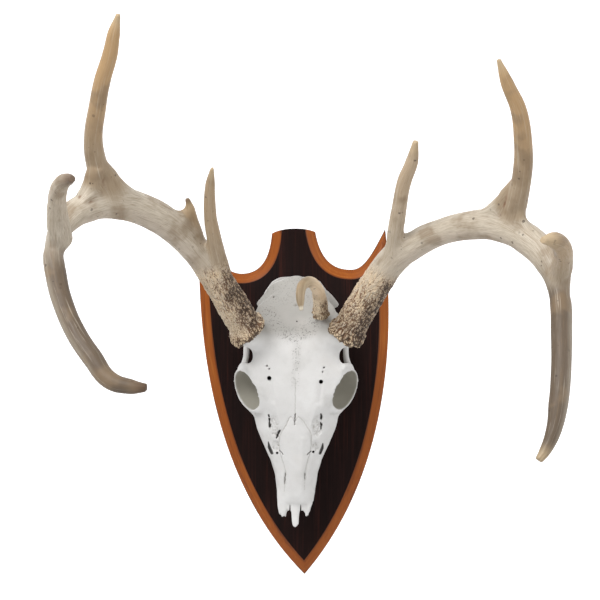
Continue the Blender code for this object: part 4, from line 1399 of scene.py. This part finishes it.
def calculate(tree, operation, *values, clamp=False):
    """A Math node's result."""
    made = tree.nodes.new("ShaderNodeMath")
    made.operation = operation
    made.use_clamp = clamp
    for socket, value in zip(made.inputs, values):
        feed(tree, value, socket)
    return made.outputs[0]


def product(tree, first, second):
    """Two values multiplied."""
    return calculate(tree, "MULTIPLY", first, second)


def between(tree, value, low, high, to_low=0.0, to_high=1.0):
    """A smooth step of the value from low to high."""
    made = add(tree, "ShaderNodeMapRange", {"interpolation_type": "SMOOTHSTEP"}, Value=value, From_Min=low,
               From_Max=high, To_Min=to_low, To_Max=to_high)
    return made.outputs[0]


def blend(tree, factor, first, second, mode="MIX"):
    """Two colours mixed by a factor."""
    made = tree.nodes.new("ShaderNodeMix")
    made.data_type = "RGBA"
    made.blend_type = mode
    feed(tree, factor, made.inputs[0])
    feed(tree, first, made.inputs[6])
    feed(tree, second, made.inputs[7])
    return made.outputs[2]


def layer(tree, colour, mask, strength, tone):
    """The colour with a tone laid over it where the mask says."""
    return blend(tree, product(tree, mask, strength), colour, tone)


def mask_of(tree, name):
    """A number kept on the mesh."""
    return add(tree, "ShaderNodeAttribute", {"attribute_name": name}).outputs["Fac"]


def flow_of(tree, name):
    """Three numbers kept on the mesh."""
    return add(tree, "ShaderNodeAttribute", {"attribute_name": name}).outputs["Vector"]


def new_group(name, inputs, outputs):
    """A node group with named inputs and outputs."""
    group = bpy.data.node_groups.new(name, "ShaderNodeTree")
    for label, kind, value in inputs:
        socket = group.interface.new_socket(label, in_out="INPUT", socket_type="NodeSocket" + kind)
        if value is not None:
            socket.default_value = value
    for label, kind in outputs:
        group.interface.new_socket(label, in_out="OUTPUT", socket_type="NodeSocket" + kind)
    return group, group.nodes.new("NodeGroupInput"), group.nodes.new("NodeGroupOutput")


def use(tree, group, **inputs):
    """Place a group in a material."""
    made = tree.nodes.new("ShaderNodeGroup")
    made.node_tree = group
    for name, value in inputs.items():
        feed(tree, value, made.inputs[name.replace("_", " ")])
    return made


print("node helpers are ready")

# %% Shared effects
grain_group, given, result = new_group(
    "Lengthwise grain",
    [("Flow", "Vector", None), ("Across", "Float", 1.0), ("Along", "Float", 0.1), ("Detail", "Float", 3.0)],
    [("Value", "Float")])
steps = add(grain_group, "ShaderNodeCombineXYZ", X=given.outputs["Across"], Y=given.outputs["Across"],
            Z=given.outputs["Along"])
scaled = add(grain_group, "ShaderNodeVectorMath", {"operation": "MULTIPLY"})
feed(grain_group, given.outputs["Flow"], scaled.inputs[0])
feed(grain_group, steps.outputs[0], scaled.inputs[1])
streaks = add(grain_group, "ShaderNodeTexNoise", Vector=scaled.outputs[0], Scale=1.0,
              Detail=given.outputs["Detail"], Roughness=0.62)
feed(grain_group, streaks.outputs["Fac"], result.inputs["Value"])

speck_group, given, result = new_group(
    "Specks",
    [("Place", "Vector", None), ("Scale", "Float", 800.0), ("Share", "Float", 0.5)],
    [("Mask", "Float")])
cells = add(speck_group, "ShaderNodeTexVoronoi", Vector=given.outputs["Place"],
            Scale=given.outputs["Scale"])
lot = add(speck_group, "ShaderNodeSeparateColor", Color=cells.outputs["Color"])
size = product(speck_group, lot.outputs[0], 0.5)
dot = between(speck_group, calculate(speck_group, "SUBTRACT", cells.outputs["Distance"], size), 0.08, -0.04)
picked = between(speck_group, calculate(speck_group, "SUBTRACT", given.outputs["Share"], lot.outputs[1]),
                 -0.05, 0.05)
feed(speck_group, product(speck_group, dot, picked), result.inputs["Mask"])

tone_group, given, result = new_group(
    "Three tones",
    [("Factor", "Float", 0.5), ("Dark", "Color", None), ("Middle", "Color", None), ("Pale", "Color", None)],
    [("Color", "Color")])
lower = blend(tone_group, between(tone_group, given.outputs["Factor"], 0.28, 0.52), given.outputs["Dark"],
              given.outputs["Middle"])
upper = blend(tone_group, between(tone_group, given.outputs["Factor"], 0.5, 0.74), lower,
              given.outputs["Pale"])
feed(tone_group, upper, result.inputs["Color"])
print("groups:", [group.name for group in bpy.data.node_groups])

# %% [markdown]
# ## Bleached bone
# Bleached bone is a cool matt white, greyer and full of fine pores on the crown and along the middle
# seam. Its hollows are painted darker, as painted shade with some dirt, and its slits, pits and holes are
# painted near black, as painted shade inside them. The sunken cheeks are painted greyer where they dip
# deepest, as painted shade. The masks on the skull say where each of these is. The eye sockets are
# painted a darker, greener grey: a greenish tint with painted shade inside them. The teeth are stained
# tan at their roots.

# %% Bone material
def start_material(name, roughness):
    """A material with its tree, its shader and the object's own coordinates."""
    material = bpy.data.materials.new(name)
    material.use_nodes = True
    tree = material.node_tree
    shader = tree.nodes["Principled BSDF"]
    shader.inputs["Roughness"].default_value = roughness
    shader.inputs["Specular IOR Level"].default_value = 0.4
    own = add(tree, "ShaderNodeTexCoord").outputs["Object"]
    return material, tree, shader, own


def emboss(tree, shader, height, strength, distance):
    """Bump the surface by a height."""
    bump = add(tree, "ShaderNodeBump", Strength=strength, Distance=distance, Height=height)
    feed(tree, bump.outputs["Normal"], shader.inputs["Normal"])


bone, tree, shader, own = start_material("bleached_bone", 0.55)
mottle = add(tree, "ShaderNodeTexNoise", Vector=own, Scale=38.0, Detail=5.0, Roughness=0.55).outputs["Fac"]
white = use(tree, tone_group, Factor=mottle, Dark=(0.65, 0.64, 0.62), Middle=(0.74, 0.73, 0.715),
            Pale=(0.80, 0.793, 0.78)).outputs["Color"]
white = layer(tree, white, mask_of(tree, "crown"), 0.9, (0.40, 0.385, 0.355))
warm = add(tree, "ShaderNodeTexNoise", Vector=own, Scale=21.0, Detail=2.0).outputs["Fac"]
white = blend(tree, between(tree, warm, 0.56, 0.72, 0.0, 0.35), white, (0.74, 0.70, 0.66))
pore_size = use(tree, speck_group, Place=own, Scale=760.0, Share=0.9).outputs["Mask"]
pore_amount = product(tree, pore_size, mask_of(tree, "pores"))
fine_pores = use(tree, speck_group, Place=own, Scale=1500.0, Share=0.35).outputs["Mask"]
fine_share = calculate(tree, "MULTIPLY_ADD", mask_of(tree, "pores"), 0.5, 0.10)
white = layer(tree, white, pore_amount, 0.95, (0.15, 0.14, 0.13))
white = layer(tree, white, product(tree, fine_pores, fine_share), 0.7, (0.28, 0.27, 0.25))
white = layer(tree, white, mask_of(tree, "pores"), 0.25, (0.40, 0.385, 0.36))
# The sunken cheeks are painted greyer where they dip deepest: painted shade.
white = layer(tree, white, mask_of(tree, "ragged"), 0.5, (0.38, 0.36, 0.33))
# The seams are darker joints; the hollows are darkened as painted shade, with some dirt.
for name, low, high, strength, tone in (
    ("seam", 0.45, 0.95, 0.42, (0.33, 0.31, 0.28)),
    ("grime_and_shade", 0.25, 1.0, 0.45, (0.42, 0.39, 0.33)),
):
    white = blend(tree, between(tree, mask_of(tree, name), low, high, 0.0, strength), white, tone)
# The eye sockets are painted a darker, greener grey: a greenish tint with painted shade inside them.
white = layer(tree, white, mask_of(tree, "socket"), 0.9, (0.36, 0.34, 0.28))
for name, low, high, strength, tone in (
    ("tooth", 0.2, 0.9, 0.7, (0.55, 0.45, 0.30)),
    # Slits, pits and holes are painted near black: painted shade inside them.
    ("hollow", 0.3, 1.0, 0.95, (0.03, 0.026, 0.022)),
):
    white = blend(tree, between(tree, mask_of(tree, name), low, high, 0.0, strength), white, tone)
feed(tree, white, shader.inputs["Base Color"])
feed(tree, between(tree, mottle, 0.3, 0.75, 0.62, 0.46), shader.inputs["Roughness"])
tooth_of_bone = add(tree, "ShaderNodeTexNoise", Vector=own, Scale=900.0, Detail=4.0).outputs["Fac"]
height = calculate(tree, "SUBTRACT", tooth_of_bone, product(tree, pore_amount, 1.5))
emboss(tree, shader, height, 0.35, 0.0004)
skull.data.materials.clear()
skull.data.materials.append(bone)
print("bone material:", len(tree.nodes), "nodes")

# %% [markdown]
# ## Antler
# The paint of an antler comes from rubbing on bark: the cracks between the pearls are dark brown, the
# pearls are rubbed cream, and the beam above is a greyish cream with fine grain and broad stains. The
# points are warmer and browner, and the ends that hang down are painted darkest, less so on their
# outward sides. On the side turned right and down the cracks are painted wider and darker as painted
# shade, the crevices get painted shade with their brown, and the undersides of the large antlers are
# painted lighter as painted bounce light from below. One function makes the material for the large
# antlers and for the small one, which is more ivory.

# %% Antler materials
# The under tone goes on the faces turned down; on the large antlers it is lighter, as painted bounce light
# from below.
LARGE_TONES = {
    "beam": (0.46, 0.39, 0.30), "pale": (0.60, 0.53, 0.43), "stain": (0.25, 0.175, 0.105),
    "tine": (0.33, 0.235, 0.14), "warm": (0.50, 0.315, 0.15), "hanging": (0.105, 0.072, 0.045),
    "under": (0.56, 0.47, 0.38), "crack": (0.17, 0.075, 0.030), "deep": (0.024, 0.009, 0.004),
    "cream": (0.72, 0.56, 0.37), "tip": (0.55, 0.42, 0.26), "dark_end": (0.09, 0.045, 0.022),
}
THIRD_TONES = {
    "beam": (0.70, 0.54, 0.36), "pale": (0.78, 0.64, 0.46), "stain": (0.44, 0.31, 0.18),
    "tine": (0.40, 0.295, 0.19), "warm": (0.45, 0.33, 0.20), "hanging": (0.25, 0.185, 0.11),
    "under": (0.66, 0.50, 0.34), "crack": (0.24, 0.125, 0.055), "deep": (0.05, 0.022, 0.010),
    "cream": (0.80, 0.65, 0.45), "tip": (0.72, 0.66, 0.54), "dark_end": (0.30, 0.20, 0.12),
}


def antler_material(name, tones):
    """Grained antler in the given tones."""
    material, tree, shader, own = start_material(name, 0.5)
    share = mask_of(tree, "tine_share")
    pearls = mask_of(tree, "pearls")
    relief = mask_of(tree, "relief")
    shaded = mask_of(tree, "shaded")

    def grain(across, along, detail=3.0):
        mixed = add(tree, "ShaderNodeMix")
        feed(tree, share, mixed.inputs[0])
        for flow, socket in (("beam_flow", mixed.inputs[2]), ("tine_flow", mixed.inputs[3])):
            lines = use(tree, grain_group, Flow=flow_of(tree, flow), Across=across, Along=along,
                        Detail=detail)
            feed(tree, lines.outputs["Value"], socket)
        return mixed.outputs[0]

    def over(colour, mask, strength, tone):
        return layer(tree, colour, mask, strength, tones[tone])

    def over_mask(colour, name, strength):
        return over(colour, mask_of(tree, name), strength, name)

    streak = grain(0.40, 0.022)
    fine = grain(1.9, 0.10, 4.0)
    stains = add(tree, "ShaderNodeTexNoise", Vector=own, Scale=34.0, Detail=3.0,
                 Roughness=0.5).outputs["Fac"]
    tan = blend(tree, between(tree, fine, 0.40, 0.62), tones["beam"], tones["pale"])
    # Undersides: lighter on the large antlers, as painted bounce light from below.
    tan = over_mask(tan, "under", 0.55)
    tan = over(tan, mask_of(tree, "brown"), 1.0, "tine")
    tan = over_mask(tan, "warm", 0.85)
    # Darker towards the hanging ends.
    tan = over_mask(tan, "hanging", 0.95)
    tan = over(tan, between(tree, stains, 0.50, 0.66), 0.6, "stain")
    tan = over(tan, between(tree, streak, 0.56, 0.72), 0.4, "pale")
    tan = over(tan, between(tree, streak, 0.44, 0.30), 0.4, "stain")
    tan = over(tan, between(tree, fine, 0.40, 0.27), 0.4, "crack")
    tan = over(tan, between(tree, relief, 0.42, 0.12), 0.4, "crack")
    pits = use(tree, speck_group, Place=own, Scale=330.0, Share=0.04).outputs["Mask"]
    tan = over(tan, pits, 0.7, "deep")
    cracks = [calculate(tree, "ABSOLUTE", calculate(tree, "SUBTRACT", grain(across, along, 1.0), 0.5))
              for across, along in ((0.48, 0.085), (0.31, 0.15))]
    nearest_crack = calculate(tree, "MINIMUM", *cracks)
    # On the shaded side the cracks are painted wider and darker, and the pearls browner: painted shade.
    reach = calculate(tree, "SUBTRACT", nearest_crack, product(tree, shaded, 0.028))
    edge = calculate(tree, "ADD", relief, product(tree, calculate(tree, "SUBTRACT", fine, 0.5), 0.35))
    edge = calculate(tree, "SUBTRACT", edge, product(tree, shaded, 0.2))
    cracked = between(tree, edge, 0.34, 0.14)
    open_crack = calculate(tree, "MAXIMUM", cracked, between(tree, reach, 0.017, 0.0))
    crevice = blend(tree, shaded, tones["crack"], tones["deep"])
    pearly = blend(tree, between(tree, fine, 0.35, 0.6), tones["pale"], tones["cream"])
    pearly = over(pearly, shaded, 0.45, "crack")
    pearly = over(pearly, mask_of(tree, "burr"), 0.8, "cream")
    pearly = blend(tree, product(tree, open_crack, 0.92), pearly, crevice)
    colour = blend(tree, between(tree, pearls, 0.05, 0.7), tan, pearly)
    # The crevices are darkened: their brown with painted shade, darkest between the burr's beads.
    grime_and_shade = between(tree, mask_of(tree, "grime_and_shade"), 0.15, 0.8)
    colour = over(colour, grime_and_shade, 0.85, "crack")
    colour = over(colour, product(tree, grime_and_shade, mask_of(tree, "burr")), 0.75, "deep")
    tip = product(tree, mask_of(tree, "tip"), between(tree, streak, 0.25, 0.6, 0.5, 1.0))
    colour = over(colour, tip, 0.8, "tip")
    colour = over_mask(colour, "dark_end", 0.85)
    feed(tree, colour, shader.inputs["Base Color"])
    feed(tree, between(tree, fine, 0.3, 0.7, 0.62, 0.42), shader.inputs["Roughness"])
    rough = calculate(tree, "ADD", product(tree, fine, 0.6), product(tree, streak, 0.4))
    quiet = calculate(tree, "SUBTRACT", 1.0, product(tree, mask_of(tree, "tip"), 0.8))
    emboss(tree, shader, product(tree, rough, quiet), 0.4, 0.0005)
    return material


antler_paint = antler_material("rubbed_antler", LARGE_TONES)
ivory_paint = antler_material("ivory_antler", THIRD_TONES)
large_pair = [(piece, antler_paint) for piece in (left_antler, right_antler)]
for piece, paint in [*large_pair, (third_antler, ivory_paint)]:
    piece.data.materials.clear()
    piece.data.materials.append(paint)
print("antler material:", len(antler_paint.node_tree.nodes), "nodes")

# %% [markdown]
# ## Stained wood
# The shield is stained almost black on its face, with a faint red grain, and its chamfer is bare
# orange-brown wood under a satin varnish, in bands that run along the edge. The side and back are a
# plain dark brown. Grain on the face runs up the board, so it reads the board's own coordinates.

# %% Wood materials
def wood_material(name, dark, middle, pale, roughness, banded):
    """Wood in three tones, with its grain up the board, or in bands along the rim."""
    material, tree, shader, own = start_material(name, roughness)
    upright = use(tree, grain_group, Flow=own, Across=520.0, Along=13.0, Detail=5.0).outputs["Value"]
    wide = use(tree, grain_group, Flow=own, Across=95.0, Along=7.0, Detail=2.0).outputs["Value"]
    value = calculate(tree, "ADD", product(tree, upright, 0.55), product(tree, wide, 0.45))
    if banded:
        rim = add(tree, "ShaderNodeSeparateXYZ", Vector=flow_of(tree, "rim"))
        swapped = add(tree, "ShaderNodeCombineXYZ", X=rim.outputs["Y"], Y=0.0, Z=rim.outputs["X"])
        bands = use(tree, grain_group, Flow=swapped.outputs[0], Across=0.42, Along=0.012,
                    Detail=3.0).outputs["Value"]
        value = calculate(tree, "ADD", product(tree, value, 0.4), product(tree, bands, 0.6))
    colour = use(tree, tone_group, Factor=value, Dark=dark, Middle=middle, Pale=pale).outputs["Color"]
    if banded:
        ragged = calculate(tree, "ADD", rim.outputs["Y"], product(tree, upright, 1.6))
        colour = blend(tree, between(tree, ragged, 9.2, 11.2, 0.0, 0.75), colour, (0.05, 0.015, 0.008))
        colour = blend(tree, between(tree, ragged, 2.2, 0.9, 0.0, 0.7), colour, (0.06, 0.02, 0.01))
    feed(tree, colour, shader.inputs["Base Color"])
    sheen = between(tree, upright, 0.3, 0.7, roughness + 0.08, roughness - 0.08)
    feed(tree, sheen, shader.inputs["Roughness"])
    shader.inputs["Specular IOR Level"].default_value = 0.25 if banded else 0.1
    emboss(tree, shader, upright, 0.25, 0.0003)
    return material


WOODS = [
    (SLOT_FACE, "black_stain", (0.0045, 0.0024, 0.0022), (0.011, 0.0040, 0.0034), (0.040, 0.0105, 0.0070),
     0.55, False),
    (SLOT_CHAMFER, "orange_chamfer", (0.13, 0.028, 0.004), (0.30, 0.075, 0.008), (0.43, 0.14, 0.022),
     0.45, True),
    (SLOT_EDGE, "dark_edge", (0.010, 0.005, 0.004), (0.022, 0.010, 0.007), (0.045, 0.018, 0.011),
     0.55, False),
]
for slot, *wood in WOODS:
    board.data.materials[slot] = wood_material(*wood)
print("wood materials:", [material.name for material in board.data.materials])

# %% [markdown]
# ## Shading the pieces and joining the body
# Round bone is shaded smooth, and the board only across its soft edges. Every piece rides with the
# object's one body and takes the place of the imported solid that it dresses, which is hidden. The boxes of
# the imported model and of the dressed one are both printed.

# %% Shading, riding and sizes
for piece in (skull, left_antler, right_antler, third_antler):
    only(piece)
    bpy.ops.object.shade_smooth()
only(board)
bpy.ops.object.shade_smooth_by_angle(angle=math.radians(20))
for piece, node, finish in (
    (skull, "skull_with_antlers", "bone"),
    (left_antler, "skull_with_antlers", "bone"),
    (right_antler, "skull_with_antlers", "bone"),
    (third_antler, "skull_with_antlers", "bone"),
    (board, "shield_board", "stained_wood"),
):
    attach(piece, "root")
    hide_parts(node)
    print(piece.name, triangles(piece), "triangles")

low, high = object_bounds()
print("visual box, mm:", [round(1000 * side) for side in high - low])
